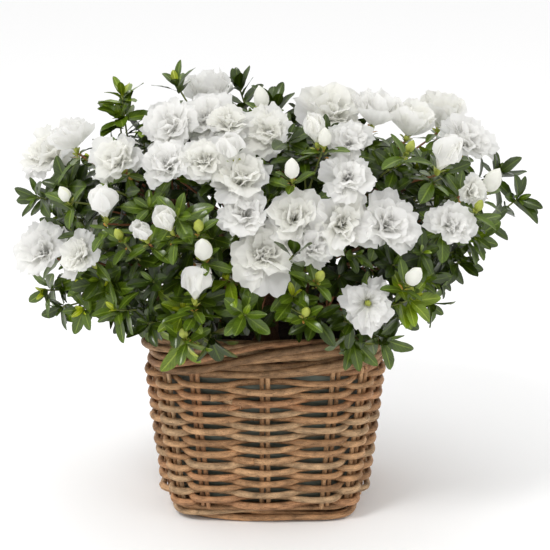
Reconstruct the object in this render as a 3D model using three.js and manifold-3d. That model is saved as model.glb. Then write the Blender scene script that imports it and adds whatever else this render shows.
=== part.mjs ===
// A florist's azalea in a square willow basket: double white blooms over a dense dome of small leaves.
// Millimetres, +Z up, -Y is the front. The origin is the middle of the basket's flat underside.
import * as THREE from "three";
import { mergeVertices } from "three/addons/utils/BufferGeometryUtils.js";
import Module from "manifold-3d";

const wasm = await Module();
wasm.setup();

// ---------------------------------------------------------------------------------------------
// Driving dimensions

const GAP = 0.3; // clearance between pieces that touch
const FINEST_EDGE = 0.05; // detail below this is smoothed away where bodies are fused

// The basket. "half" is a half width across the flats, and n is the squareness of its rounded plan.
const BASKET = {
  n: 4.4,
  stakeHalfAtFloor: 74.7, // centre line of the upright stakes, at z 0
  lean: 0.112, // how far the wall leans out for each mm of height
  height: 156,
};
const BASE = { half: 67, footHeight: 11.4, flangeTop: 15, flangeBeyondStakes: 1.8, sides: 32 };
const FOOT = { rods: 2, width: 7.6, bulge: 0.22 };
const STAKE = { radius: 1.15, halfSpacing: 1.45, rootDepth: 1.5, rimRoom: 0.2 };
const WEAVER = { rows: 22, pitch: 4.9, height: 4.2, depth: 3.6, offset: 6.3 };
const RIM = { strands: 3, twists: -2, rodRadius: 4.6, riseHalf: 11.4, reachHalf: 5.4, inset: 1.5, steps: 36 };
const LINER = { clearance: 0.6, wall: 1.5, top: 128, sides: 32 };
const SOIL_TOP = 121;

// Where the pairs of stakes stand, as azimuths inside one quarter of the plan: the middle of a side,
// then a pair on either side of each corner and one on the corner itself.
const PAIRS_IN_QUARTER = [0, 32, 45, 58];

// The plant. Azimuth 0 is the front and 90 is +X; elevation is above the horizon, from the hub.
const HUB = new THREE.Vector3(0, 0, 172); // the point that every bough and twig points away from
const CROWN = { x: 3, z: 230, halfX: 205, halfY: 178, up: 116, down: 90, n: 2.6 };
const CROWN_LEAN = { forward: 0.12, low: 0.35 }; // higher in front, and its underside lies to the left
const LOWEST_ELEVATION = -13;
const TRUNK = { sides: 9, foot: 17, flareHeight: 14, base: 10.5, tip: 5, top: 202, sway: 2.2, hollow: 0.86 };
const TRUNK_BENDS = [155, 180]; // heights at which the trunk has a ring of its own above its flare
const BOUGH = { sides: 5, steps: 3, base: 2.3, tip: 1.5, reach: 62, straight: 9 };
const STEM = { sides: 3, base: 1.5, tip: 1.25, reach: 0.6 };
const CORE = { inner: 80, spread: 0.6, outer: 0.77, vary: 0.1, points: 11, basketAir: 15 };
const TWIG = { base: 1.1, bud: 2.2, point: 3 };
const LEAF = { length: 37, width: 14, thick: 1.3, widest: 0.5, droop: 0.12 };
const ROSETTE = { leaves: 5, opening: 62 };
const COLLAR = { leaves: 3, opening: 84 };
const BLOOM = { lobes: 5, funnel: 0.62, ruffle: 0.2, brim: 0.98, heart: 0.56, heartRise: 0.45, dome: 0.62 };
const TIP_SHARE = 0.135; // leafy shoots for each direction of the lattice that a mass holds
const LATTICE = 620; // directions spread evenly over the sphere, from which shoots are picked
const SEED = 1100;
const SPACE_MARGIN = 0.4; // how far a mass keeps from the planes round its space

// Every mass of foliage: where its middle points, and the blooms it carries as azimuth, elevation
// and diameter. A mass with no blooms of its own named here gets two by rule.
const MASSES = [
  { name: "left_shoulder", azimuth: -77, elevation: 37, blooms: [[-84, 33, 46], [-62, 40, 28]] },
  { name: "left_skirt", azimuth: -54, elevation: 14, blooms: [[-56, 16, 46], [-44, 17, 34]] },
  { name: "left_brow", azimuth: -44, elevation: 41, blooms: [[-40, 38, 46], [-42, 45, 30]] },
  { name: "front_left_skirt", azimuth: -25, elevation: 11, blooms: [[-20, 14, 28], [-31, 26, 28]] },
  { name: "crown_left", azimuth: -33, elevation: 62, blooms: [[-27, 54, 60], [-62, 73, 34]] },
  { name: "front_left_brow", azimuth: -13, elevation: 39, blooms: [[-22, 40, 48], [-10, 42, 38], [-7, 33, 48]] },
  { name: "front", azimuth: 1, elevation: 17, blooms: [[1, 22, 60]] },
  { name: "front_right_brow", azimuth: 17, elevation: 33, blooms: [[22, 37, 44], [9, 30, 45], [22, 27, 54]] },
  { name: "front_right_skirt", azimuth: 30, elevation: 4, blooms: [[30, 7, 44]] },
  { name: "crown_right", azimuth: 22, elevation: 62, blooms: [[3, 54, 40], [43, 66, 52]] },
  { name: "right_skirt", azimuth: 45, elevation: 22, blooms: [[33, 26, 42], [44, 23, 36]] },
  { name: "right_brow", azimuth: 47, elevation: 48, blooms: [[44, 53, 32], [48, 38, 30]] },
  { name: "right_shoulder", azimuth: 75, elevation: 38, blooms: [[64, 34, 44], [84, 47, 38]] },
  { name: "right_side", azimuth: 82, elevation: 12, blooms: [[78, 25, 26], [101, 14, 46]] },
  { name: "left_side", azimuth: -97, elevation: 9 },
  { name: "back_right_skirt", azimuth: 122, elevation: 13 },
  { name: "back_skirt", azimuth: 164, elevation: 13 },
  { name: "back_left_skirt", azimuth: -146, elevation: 13 },
  { name: "back_right_shoulder", azimuth: 115, elevation: 44 },
  { name: "back_right_brow", azimuth: 152, elevation: 41 },
  { name: "back_left_brow", azimuth: -166, elevation: 41 },
  { name: "back_left_shoulder", azimuth: -122, elevation: 42 },
  { name: "crown_back", azimuth: -175, elevation: 71 },
];
const RULED_BLOOMS = { count: 2, spread: 15, diameter: 50, vary: 8 };

// ---------------------------------------------------------------------------------------------
// Materials

const material = (color, roughness) => new THREE.MeshStandardMaterial({ color, roughness, metalness: 0 });
const WILLOW = material(0x9a7558, 0.75);
const RIM_WILLOW = material(0x8d6a4d, 0.72);
const STAKE_WILLOW = material(0xa27a5a, 0.75);
const PLASTIC = material(0x3a3d35, 0.5);
const SOIL = material(0x33261c, 0.95);
const BARK = material(0x6a4a33, 0.85);
const FOLIAGE = material(0x3f5a24, 0.5);

// ---------------------------------------------------------------------------------------------
// Small tools

const vec = (x, y, z) => new THREE.Vector3(x, y, z);
const UP = vec(0, 0, 1);

// A seeded stream of numbers from 0 to 1.
function randomStream(seed) {
  let state = seed >>> 0;
  return () => {
    state = (state + 0x6d2b79f5) >>> 0;
    let t = state;
    t = Math.imul(t ^ (t >>> 15), t | 1);
    t ^= t + Math.imul(t ^ (t >>> 7), t | 61);
    return ((t ^ (t >>> 14)) >>> 0) / 4294967296;
  };
}

function direction(azimuth, elevation) {
  const a = THREE.MathUtils.degToRad(azimuth);
  const e = THREE.MathUtils.degToRad(elevation);
  return vec(Math.sin(a) * Math.cos(e), -Math.cos(a) * Math.cos(e), Math.sin(e));
}

// A direction well away from the axis.
function poleFor(axis) {
  return Math.abs(axis.z) < 0.95 ? UP : vec(0, 1, 0);
}

// Two unit vectors square to axis and to each other.
function frameOf(axis, pole = poleFor(axis)) {
  const side = vec(0, 0, 0).crossVectors(pole, axis).normalize();
  const over = vec(0, 0, 0).crossVectors(axis, side).normalize();
  return [side, over];
}

// The closed body between rings of points, each ring with as many points as the last. A loop joins
// its last ring to its first, and an open row of rings is capped at both ends.
function loft(rings, loop = false) {
  const count = rings[0].length;
  const positions = rings.flat().flatMap((p) => [p.x, p.y, p.z]);
  const index = [];
  const spans = loop ? rings.length : rings.length - 1;
  for (let i = 0; i < spans; i++) {
    const from = i * count;
    const to = ((i + 1) % rings.length) * count;
    for (let j = 0; j < count; j++) {
      const k = (j + 1) % count;
      index.push(from + j, from + k, to + k, from + j, to + k, to + j);
    }
  }
  const last = (rings.length - 1) * count;
  for (let j = 1; !loop && j < count - 1; j++) {
    index.push(0, j + 1, j);
    index.push(last, last + j, last + j + 1);
  }
  return closedBody(positions, index);
}

// A geometry from points and triangles, turned so that its faces point out.
function closedBody(positions, index) {
  const point = (i) => vec(positions[3 * i], positions[3 * i + 1], positions[3 * i + 2]);
  let volume = 0;
  for (let i = 0; i < index.length; i += 3) {
    volume += point(index[i]).dot(point(index[i + 1]).cross(point(index[i + 2])));
  }
  if (volume < 0) index.reverse();
  const geometry = new THREE.BufferGeometry();
  geometry.setAttribute("position", new THREE.Float32BufferAttribute(positions, 3));
  geometry.setIndex(index);
  return geometry;
}

// A tapering limb along a line of points, with a regular section. All its rings share one pole, so
// that none is turned against the next.
function limb(points, radii, sides) {
  const last = points.length - 1;
  const pole = poleFor(vec(0, 0, 0).subVectors(points[last], points[0]).normalize());
  const rings = points.map((p, i) => {
    const ahead = points[Math.min(i + 1, last)];
    const behind = points[Math.max(i - 1, 0)];
    const [side, over] = frameOf(vec(0, 0, 0).subVectors(ahead, behind).normalize(), pole);
    return Array.from({ length: sides }, (_, j) => {
      const a = (2 * Math.PI * j) / sides;
      const out = side.clone().multiplyScalar(Math.cos(a)).addScaledVector(over, Math.sin(a));
      return p.clone().addScaledVector(out, radii[i]);
    });
  });
  return loft(rings);
}

function solidOf(geometry) {
  const bare = new THREE.BufferGeometry();
  bare.setAttribute("position", geometry.getAttribute("position"));
  bare.setIndex(geometry.getIndex());
  const merged = mergeVertices(bare, 1e-4);
  const vertProperties = merged.getAttribute("position").array;
  const triVerts = new Uint32Array(merged.getIndex().array);
  return new wasm.Manifold(new wasm.Mesh({ numProp: 3, vertProperties, triVerts }));
}

function geometryOf(solid) {
  const mesh = solid.getMesh();
  const geometry = new THREE.BufferGeometry();
  geometry.setAttribute("position", new THREE.BufferAttribute(mesh.vertProperties, mesh.numProp));
  geometry.setIndex(new THREE.BufferAttribute(mesh.triVerts, 1));
  return geometry;
}

// One body from many: the largest piece of their union, with any loose scrap dropped.
function fused(geometries) {
  const solids = geometries.map(solidOf);
  const whole = wasm.Manifold.union(solids).simplify(FINEST_EDGE);
  const pieces = whole.decompose();
  pieces.sort((a, b) => b.volume() - a.volume());
  return geometryOf(pieces[0]);
}

const azalea = new THREE.Group();
azalea.name = "azalea_in_basket";

function addPiece(name, geometry, finish) {
  const mesh = new THREE.Mesh(geometry, finish);
  mesh.name = name;
  azalea.add(mesh);
}

// ---------------------------------------------------------------------------------------------
// The basket

const stakeHalf = (z) => BASKET.stakeHalfAtFloor + BASKET.lean * z;

// A point of the rounded square plan at an azimuth, moved out from the line by "out".
function planPoint(half, azimuth, z, out = 0) {
  const { n } = BASKET;
  const d = direction(azimuth, 0);
  const radius = half / (Math.abs(d.x) ** n + Math.abs(d.y) ** n) ** (1 / n);
  const normal = vec(Math.sign(d.x) * Math.abs(d.x) ** (n - 1), Math.sign(d.y) * Math.abs(d.y) ** (n - 1), 0);
  return vec(d.x * radius, d.y * radius, z).addScaledVector(normal.normalize(), out);
}

function planRing(half, z, sides) {
  return Array.from({ length: sides }, (_, i) => planPoint(half, (360 * i) / sides, z));
}

// Azimuths of the sixteen pairs of stakes, from the middle of the back.
const PAIRS = [0, 1, 2, 3].flatMap((quarter) => PAIRS_IN_QUARTER.map((a) => 180 + 90 * quarter + a));

// A rod of the rim's rope at an azimuth: how high and how far out its centre lies. With twists below
// zero, the rods in sight rise to the right.
function rimRod(strand, azimuth) {
  const phase = 2 * Math.PI * (strand / RIM.strands + (RIM.twists * azimuth) / 360);
  const middle = BASKET.height - RIM.riseHalf - RIM.rodRadius;
  return { z: middle + RIM.riseHalf * Math.cos(phase), out: RIM.reachHalf * Math.sin(phase) - RIM.inset };
}

function stake(azimuth, side) {
  const strands = Array.from({ length: RIM.strands }, (_, s) => rimRod(s, azimuth).z);
  const top = Math.min(...strands) - RIM.rodRadius - GAP - STAKE.rimRoom;
  const foot = BASE.flangeTop - STAKE.rootDepth;
  const normal = planPoint(1, azimuth, 0, 1).sub(planPoint(1, azimuth, 0));
  const along = vec(0, 0, 0).crossVectors(UP, normal);
  const rings = [foot, top].map((z) => {
    const centre = planPoint(stakeHalf(z), azimuth, z).addScaledVector(along, side * STAKE.halfSpacing);
    return [[1, 1], [-1, 1], [-1, -1], [1, -1]].map(([a, b]) =>
      centre.clone().addScaledVector(normal, a * STAKE.radius).addScaledVector(along, b * STAKE.radius),
    );
  });
  return loft(rings);
}

// The woven floor with its flange, and the pairs of stakes that rise from it.
function frameOfBasket() {
  const flange = stakeHalf(BASE.flangeTop) + BASE.flangeBeyondStakes;
  const shelf = BASE.footHeight + GAP;
  const floor = loft([
    planRing(BASE.half, 0, BASE.sides),
    planRing(BASE.half, shelf, BASE.sides),
    planRing(flange, shelf, BASE.sides),
    planRing(flange, BASE.flangeTop, BASE.sides),
  ]);
  const stakes = PAIRS.flatMap((azimuth) => [-1, 1].map((side) => stake(azimuth, side)));
  return fused([floor, ...stakes]);
}

// The rods under the flange that the basket stands on, one above the other.
function footRod(level) {
  const height = (BASE.footHeight - GAP * (FOOT.rods - 1)) / FOOT.rods;
  const low = level * (height + GAP);
  const inner = BASE.half + GAP;
  const bulge = FOOT.bulge * height;
  const rings = [];
  for (let i = 0; i < BASE.sides; i++) {
    const azimuth = (360 * i) / BASE.sides;
    rings.push([
      planPoint(inner, azimuth, low),
      planPoint(inner, azimuth, low, FOOT.width - bulge),
      planPoint(inner, azimuth, low + height / 2, FOOT.width),
      planPoint(inner, azimuth, low + height, FOOT.width - bulge),
      planPoint(inner, azimuth, low + height),
    ]);
  }
  return loft(rings, true);
}

// One of the two weavers. It goes in front of one pair of stakes and behind the next, row over row,
// and steps up to its next row behind the basket.
function weaver(which) {
  const turns = WEAVER.rows / 2;
  const firstRow = BASE.flangeTop + GAP + WEAVER.height / 2;
  const rings = [];
  for (let i = 0; i < turns * PAIRS.length; i++) {
    const turn = Math.floor(i / PAIRS.length);
    const z = firstRow + WEAVER.pitch * (which + 2 * turn);
    const front = (i + which) % 2 === 0 ? 1 : -1;
    const azimuth = PAIRS[i % PAIRS.length];
    rings.push(
      [[1, 1], [-1, 1], [-1, -1], [1, -1]].map(([a, b]) => {
        const out = front * WEAVER.offset + (a * WEAVER.depth) / 2;
        return planPoint(stakeHalf(z), azimuth, z + (b * WEAVER.height) / 2, out);
      }),
    );
  }
  return loft(rings);
}

// One rod of the rope that closes the rim.
function rimStrand(strand) {
  const sides = 5;
  const rings = [];
  for (let i = 0; i < RIM.steps; i++) {
    const azimuth = (360 * i) / RIM.steps;
    const { z, out } = rimRod(strand, azimuth);
    rings.push(
      Array.from({ length: sides }, (_, j) => {
        const a = (2 * Math.PI * j) / sides;
        const rise = RIM.rodRadius * Math.cos(a);
        return planPoint(stakeHalf(z), azimuth, z + rise, out + RIM.rodRadius * Math.sin(a));
      }),
    );
  }
  return loft(rings, true);
}

const insideWeave = -(WEAVER.offset + WEAVER.depth / 2 + LINER.clearance);

// The plastic pot inside the weave, open at the top.
function liner() {
  const floor = BASE.flangeTop + GAP;
  const outer = (z) => planRingOut(z, insideWeave);
  const inner = (z) => planRingOut(z, insideWeave - LINER.wall);
  return loft([outer(floor), outer(LINER.top), inner(LINER.top), inner(floor + LINER.wall)]);
}

function planRingOut(z, out) {
  return planRing(stakeHalf(z) + out, z, LINER.sides);
}

function soil() {
  const out = insideWeave - LINER.wall - GAP;
  return loft([planRingOut(BASE.flangeTop + LINER.wall + 2 * GAP, out), planRingOut(SOIL_TOP, out)]);
}

addPiece("basket_frame", frameOfBasket(), STAKE_WILLOW);
for (let level = 0; level < FOOT.rods; level++) addPiece(`foot_rod_${level + 1}`, footRod(level), WILLOW);
for (const which of [0, 1]) addPiece(`weaver_${which + 1}`, weaver(which), WILLOW);
for (let s = 0; s < RIM.strands; s++) addPiece(`rim_strand_${s + 1}`, rimStrand(s), RIM_WILLOW);
addPiece("liner_pot", liner(), PLASTIC);
addPiece("soil", soil(), SOIL);

// ---------------------------------------------------------------------------------------------
// The trunk and its boughs

// The trunk's axis sways a little, and its radius runs from the root flare to the tip.
function trunkAt(z) {
  const rise = (z - SOIL_TOP) / (TRUNK.top - SOIL_TOP);
  const flare = Math.max(0, 1 - (z - SOIL_TOP) / TRUNK.flareHeight);
  const centre = vec(TRUNK.sway * Math.sin(Math.PI * rise), -TRUNK.sway * Math.sin(2 * Math.PI * rise), z);
  const plain = TRUNK.base + (TRUNK.tip - TRUNK.base) * rise;
  return { centre, radius: plain + (TRUNK.foot - TRUNK.base) * flare ** 2 };
}

// The trunk's sides stand out in three low ribs. Grown, it is the air that boughs keep clear of.
function trunk(grown = 0) {
  const foot = SOIL_TOP + GAP;
  const flare = [0, 0.35, 1].map((share) => foot + share * TRUNK.flareHeight);
  const heights = [...flare, ...TRUNK_BENDS, TRUNK.top];
  const rings = heights.map((z, i) => {
    const { centre, radius } = trunkAt(z);
    const raised = i === heights.length - 1 ? grown : 0;
    return Array.from({ length: TRUNK.sides }, (_, j) => {
      const a = (2 * Math.PI * j) / TRUNK.sides;
      const reach = radius * (j % 3 === 0 ? 1 : TRUNK.hollow) + grown;
      return centre.clone().add(vec(reach * Math.cos(a), reach * Math.sin(a), raised));
    });
  });
  return loft(rings);
}

const trunkAir = solidOf(trunk(GAP));

// Boughs leave the trunk in tiers by the height of their mass, neighbours at two levels in a tier.
const TIERS = [
  { below: 25, levels: [152, 163] },
  { below: 50, levels: [174, 185] },
  { below: 91, levels: [194, 194] },
];

function tierOf(mass) {
  return TIERS.find((tier) => mass.elevation < tier.below);
}

function boughHeight(mass) {
  const tier = tierOf(mass);
  const inTier = MASSES.filter((other) => tierOf(other) === tier).sort((a, b) => a.azimuth - b.azimuth);
  return tier.levels[inTier.indexOf(mass) % 2];
}

// A bough starts inside the trunk and is cut back to the clearance round it.
function bough(mass) {
  const end = HUB.clone().addScaledVector(mass.axis, BOUGH.reach - GAP);
  const height = boughHeight(mass);
  const { centre, radius } = trunkAt(height);
  const start = centre.clone().addScaledVector(direction(mass.azimuth, 0), 0.5 * radius);
  const neck = end.clone().addScaledVector(mass.axis, -BOUGH.straight);
  const bend = start.clone().addScaledVector(direction(mass.azimuth, 8), 0.5 * start.distanceTo(neck));
  const curve = new THREE.QuadraticBezierCurve3(start, bend, neck);
  const points = [...curve.getPoints(BOUGH.steps - 1), end];
  const radii = points.map((_, i) => THREE.MathUtils.lerp(BOUGH.base, BOUGH.tip, i / BOUGH.steps));
  return geometryOf(solidOf(limb(points, radii, BOUGH.sides)).subtract(trunkAir));
}

// ---------------------------------------------------------------------------------------------
// The masses of foliage

for (const mass of MASSES) mass.axis = direction(mass.azimuth, mass.elevation);

// How full a point makes the crown's rounded outline: 1 on it, less inside.
function crownLevel(p) {
  const level = p.z - CROWN.z;
  const rise = level > 0 ? level * (1 + (CROWN_LEAN.forward * p.y) / CROWN.up) : level;
  const middle = CROWN.x + CROWN_LEAN.low * Math.min(0, level);
  const x = Math.abs((p.x - middle) / CROWN.halfX) ** CROWN.n;
  const y = Math.abs(p.y / CROWN.halfY) ** CROWN.n;
  const z = Math.abs(rise / (rise > 0 ? CROWN.up : CROWN.down)) ** CROWN.n;
  return x + y + z;
}

// The distance from the hub to the outline along a direction.
function crownReach(d) {
  let low = 0;
  let high = 400;
  for (let i = 0; i < 30; i++) {
    const middle = (low + high) / 2;
    if (crownLevel(HUB.clone().addScaledVector(d, middle)) < 1) low = middle;
    else high = middle;
  }
  return low;
}

// How far a point lies inside the planes that part its mass from the others; negative is outside.
function roomInSpace(p, mass) {
  const from = vec(0, 0, 0).subVectors(p, HUB);
  return Math.min(
    ...MASSES.filter((other) => other !== mass).map((other) =>
      from.dot(vec(0, 0, 0).subVectors(mass.axis, other.axis).normalize()),
    ),
  );
}

// Moves a ball until it is inside its mass's space.
function settled(centre, radius, mass) {
  const p = centre.clone();
  for (let round = 0; round < 12; round++) {
    for (const other of MASSES.filter((m) => m !== mass)) {
      const normal = vec(0, 0, 0).subVectors(mass.axis, other.axis).normalize();
      const short = radius + SPACE_MARGIN - vec(0, 0, 0).subVectors(p, HUB).dot(normal);
      if (short > 0) p.addScaledVector(normal, short);
    }
  }
  return p;
}

// Clear of the basket's rim and wall, and of the ring of air just over it.
function clearOfBasket(p) {
  const { n } = BASKET;
  const half = (Math.abs(p.x) ** n + Math.abs(p.y) ** n) ** (1 / n);
  return p.z > BASKET.height + 2 || half > stakeHalf(BASKET.height) + 14;
}

const allowed = (p, mass) => roomInSpace(p, mass) > SPACE_MARGIN && clearOfBasket(p);

// The basket with a little air round it, which no core may enter.
const basketAir = solidOf(
  loft([
    planRing(stakeHalf(0) + CORE.basketAir, 0, 24),
    planRing(stakeHalf(BASKET.height) + CORE.basketAir, BASKET.height + 3, 24),
  ]),
);

// The thicket of shoots at the heart of a mass, as one plain lump that its shoots stand out of.
function core(mass, random) {
  const share = SHARES.get(mass);
  const points = [];
  const step = share.length / CORE.points;
  for (let i = 0; i < CORE.points; i++) {
    const d = share[Math.floor(i * step)];
    const depth = crownReach(d) * (CORE.outer + CORE.vary * (random() - 0.5));
    points.push(HUB.clone().addScaledVector(d, depth));
    const inward = mass.axis.clone().lerp(d, CORE.spread).normalize();
    points.push(HUB.clone().addScaledVector(inward, CORE.inner));
  }
  const inside = points.map((p) => settled(p, 0, mass)).map((p) => [p.x, p.y, p.z]);
  return geometryOf(wasm.Manifold.hull(inside).subtract(basketAir));
}

// The directions of the lattice that are nearest to each mass's axis.
function latticeByMass() {
  const turn = 180 * (3 - Math.sqrt(5));
  const shares = new Map(MASSES.map((mass) => [mass, []]));
  for (let i = 0; i < LATTICE; i++) {
    const elevation = THREE.MathUtils.radToDeg(Math.asin(1 - (2 * (i + 0.5)) / LATTICE));
    if (elevation < LOWEST_ELEVATION) continue;
    const d = direction((turn * i) % 360, elevation);
    const nearest = MASSES.reduce((a, b) => (a.axis.dot(d) > b.axis.dot(d) ? a : b));
    shares.get(nearest).push(d);
  }
  return shares;
}
const SHARES = latticeByMass();

// The blooms of a mass that names none: spread on both sides of its middle.
function ruledBlooms(mass, random) {
  const { count, spread, diameter, vary } = RULED_BLOOMS;
  return Array.from({ length: count }, (_, i) => {
    const turn = Math.PI * (i + 0.5 * random());
    const across = (spread * Math.cos(turn)) / Math.cos(THREE.MathUtils.degToRad(mass.elevation));
    const rise = spread * Math.sin(turn + 0.4);
    return [mass.azimuth + across, mass.elevation + rise, diameter + vary * (random() - 0.5)];
  });
}

// The centre and radius of each bloom, sunk by most of its radius into the crown's outline.
function bloomsOf(mass, random) {
  const named = mass.blooms ?? ruledBlooms(mass, random);
  return named.map(([azimuth, elevation, diameter]) => {
    const radius = diameter / 2;
    const d = direction(azimuth, elevation);
    const centre = HUB.clone().addScaledVector(d, crownReach(d) - 0.75 * radius);
    return { centre: settled(centre, radius, mass), radius };
  });
}

// Shoots go where the mass is emptiest: each takes the direction furthest from what is there.
function shootsOf(mass, blooms, random) {
  const taken = blooms.map((b) => vec(0, 0, 0).subVectors(b.centre, HUB).normalize());
  const free = SHARES.get(mass).slice();
  const count = Math.round(TIP_SHARE * free.length);
  const shoots = [];
  while (shoots.length < count && free.length) {
    const nearness = (d) => Math.max(-1, ...taken.map((t) => t.dot(d)));
    free.sort((a, b) => nearness(a) - nearness(b));
    const d = free.shift();
    taken.push(d);
    const tip = HUB.clone().addScaledVector(d, crownReach(d) - LEAF.length * (0.5 + 0.35 * random()));
    if (allowed(tip, mass)) shoots.push(tip);
  }
  return shoots;
}

// A leaf of eight faces from its root, which is sunk in a bud, to a drooping tip.
function leafPoints(root, along, face, length) {
  const side = vec(0, 0, 0).crossVectors(along, face).normalize();
  const middle = root.clone().addScaledVector(along, LEAF.widest * length);
  const tip = root.clone().addScaledVector(along, length).addScaledVector(face, -LEAF.droop * length);
  return [
    root,
    tip,
    middle.clone().addScaledVector(side, LEAF.width / 2),
    middle.clone().addScaledVector(face, LEAF.thick / 2),
    middle.clone().addScaledVector(side, -LEAF.width / 2),
    middle.clone().addScaledVector(face, -LEAF.thick / 2),
  ];
}

function leafBody(points) {
  const index = [];
  for (let j = 0; j < 4; j++) {
    const a = 2 + j;
    const b = 2 + ((j + 1) % 4);
    index.push(0, a, b, 1, b, a);
  }
  return closedBody(points.flatMap((p) => [p.x, p.y, p.z]), index);
}

// Leaves round the end of a twig. One that would leave the mass's space is skipped.
function leavesAt(end, axis, form, mass, random) {
  const [side, over] = frameOf(axis);
  const opening = THREE.MathUtils.degToRad(form.opening);
  const first = 2 * Math.PI * random();
  const bodies = [];
  for (let i = 0; i < form.leaves; i++) {
    const a = first + (2 * Math.PI * (i + 0.3 * random())) / form.leaves;
    const out = side.clone().multiplyScalar(Math.cos(a)).addScaledVector(over, Math.sin(a));
    const along = axis.clone().multiplyScalar(Math.cos(opening)).addScaledVector(out, Math.sin(opening));
    const face = axis.clone().multiplyScalar(Math.sin(opening)).addScaledVector(out, -Math.cos(opening));
    const length = LEAF.length * (0.85 + 0.3 * random());
    const points = leafPoints(end.clone(), along, face, length);
    if (points.every((p) => allowed(p, mass))) bodies.push(leafBody(points));
  }
  return bodies;
}

// A twig that swells to a bud at its end, where its leaves are rooted.
function twig(from, to) {
  const axis = vec(0, 0, 0).subVectors(to, from).normalize();
  const point = to.clone().addScaledVector(axis, TWIG.point);
  return limb([from, to, point], [TWIG.base, TWIG.bud, 0.3], 3);
}

// A double bloom: a funnel, a ruffled brim of ten points and a raised heart of five.
function bloom({ centre, radius }, foot, random) {
  const axis = vec(0, 0, 0).subVectors(centre, foot).normalize();
  const [side, over] = frameOf(axis);
  const turn = 2 * Math.PI * random();
  const ring = (count, reach, rise, shift) =>
    Array.from({ length: count }, (_, j) => {
      const a = turn + shift + (2 * Math.PI * j) / count;
      const wave = j % 2 === 0 ? 1 : 1 - BLOOM.ruffle;
      const out = side.clone().multiplyScalar(Math.cos(a)).addScaledVector(over, Math.sin(a));
      return centre
        .clone()
        .addScaledVector(out, reach * radius * wave)
        .addScaledVector(axis, radius * (rise + (count > BLOOM.lobes ? 0.5 * (1 - wave) : 0)));
    });
  const brim = ring(2 * BLOOM.lobes, BLOOM.brim, 0, 0);
  const heart = ring(BLOOM.lobes, BLOOM.heart, BLOOM.heartRise, Math.PI / (2 * BLOOM.lobes));
  const bottom = foot.clone();
  const top = centre.clone().addScaledVector(axis, BLOOM.dome * radius);
  const points = [bottom, top, ...brim, ...heart];
  const brimAt = (j) => 2 + (j % brim.length);
  const heartAt = (j) => 2 + brim.length + (j % heart.length);
  const index = [];
  for (let j = 0; j < brim.length; j++) index.push(0, brimAt(j + 1), brimAt(j));
  for (let j = 0; j < heart.length; j++) {
    index.push(brimAt(2 * j), brimAt(2 * j + 1), heartAt(j));
    index.push(brimAt(2 * j + 1), brimAt(2 * j + 2), heartAt(j + 1));
    index.push(brimAt(2 * j + 1), heartAt(j + 1), heartAt(j));
    index.push(1, heartAt(j), heartAt(j + 1));
  }
  return closedBody(points.flatMap((p) => [p.x, p.y, p.z]), index);
}

// The whole mass: its stem, the twigs that leave it, and what each twig carries.
function foliage(mass, number) {
  const random = randomStream(SEED + number);
  const root = HUB.clone().addScaledVector(mass.axis, BOUGH.reach);
  const top = HUB.clone().addScaledVector(mass.axis, STEM.reach * crownReach(mass.axis));
  const bodies = [limb([root, top], [STEM.base, STEM.tip], STEM.sides), core(mass, random)];
  const blooms = bloomsOf(mass, random);
  const shoots = shootsOf(mass, blooms, random);
  const wide = (p) => mass.axis.angleTo(vec(0, 0, 0).subVectors(p, HUB));
  const leaveStem = (p) => root.clone().lerp(top, THREE.MathUtils.clamp(1 - 0.9 * wide(p), 0.3, 0.97));
  for (const b of blooms) {
    const from = leaveStem(b.centre);
    const foot = b.centre.clone().lerp(from, (BLOOM.funnel * b.radius) / b.centre.distanceTo(from));
    const axis = vec(0, 0, 0).subVectors(foot, from).normalize();
    bodies.push(twig(from, foot), bloom(b, foot, random));
    bodies.push(...leavesAt(foot, axis, COLLAR, mass, random));
  }
  for (const tip of shoots) {
    const from = leaveStem(tip);
    const axis = vec(0, 0, 0).subVectors(tip, from).normalize();
    bodies.push(twig(from, tip), ...leavesAt(tip, axis, ROSETTE, mass, random));
  }
  return fused(bodies);
}

addPiece("trunk", trunk(), BARK);
for (const mass of MASSES) addPiece(`bough_${mass.name}`, bough(mass), BARK);
MASSES.forEach((mass, i) => addPiece(`foliage_${mass.name}`, foliage(mass, i), FOLIAGE));

export default azalea;
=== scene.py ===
"""A white double azalea in a square willow basket. Lengths are in millimetres until a mesh is made."""

import math

import bpy
import numpy as np
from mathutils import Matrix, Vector


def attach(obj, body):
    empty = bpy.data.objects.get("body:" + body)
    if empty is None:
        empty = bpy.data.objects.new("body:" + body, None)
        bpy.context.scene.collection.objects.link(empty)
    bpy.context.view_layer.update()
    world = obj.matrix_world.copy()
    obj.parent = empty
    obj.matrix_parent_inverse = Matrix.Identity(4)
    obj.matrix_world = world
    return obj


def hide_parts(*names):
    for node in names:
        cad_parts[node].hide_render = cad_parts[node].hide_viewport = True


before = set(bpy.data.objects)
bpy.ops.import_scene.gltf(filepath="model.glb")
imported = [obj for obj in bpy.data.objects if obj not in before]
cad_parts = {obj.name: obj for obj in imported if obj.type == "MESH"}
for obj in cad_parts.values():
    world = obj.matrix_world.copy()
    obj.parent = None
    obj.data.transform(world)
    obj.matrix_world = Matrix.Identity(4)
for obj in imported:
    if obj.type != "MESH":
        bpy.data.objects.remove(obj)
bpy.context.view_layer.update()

# ---- The named sizes of the solids, in the part's own frame: -Y is the front, azimuth 0 is the front.

GAP = 0.3
BASKET_N = 4.4
STAKE_HALF, LEAN = 74.7, 0.112
HEIGHT = 156.0
FLANGE_TOP = 15.0
ROWS, PITCH, ROW_HEIGHT = 22, 4.9, 4.2
PAIRS = [180 + 90 * q + a for q in range(4) for a in (0, 32, 45, 58)]
RIM_ROD, RIM_RISE, RIM_INSET = 4.6, 11.4, 1.5
LINER_TOP, SOIL_TOP = 128.0, 121.0
INSIDE_WEAVE = -(6.3 + 1.8 + 0.6)

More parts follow.
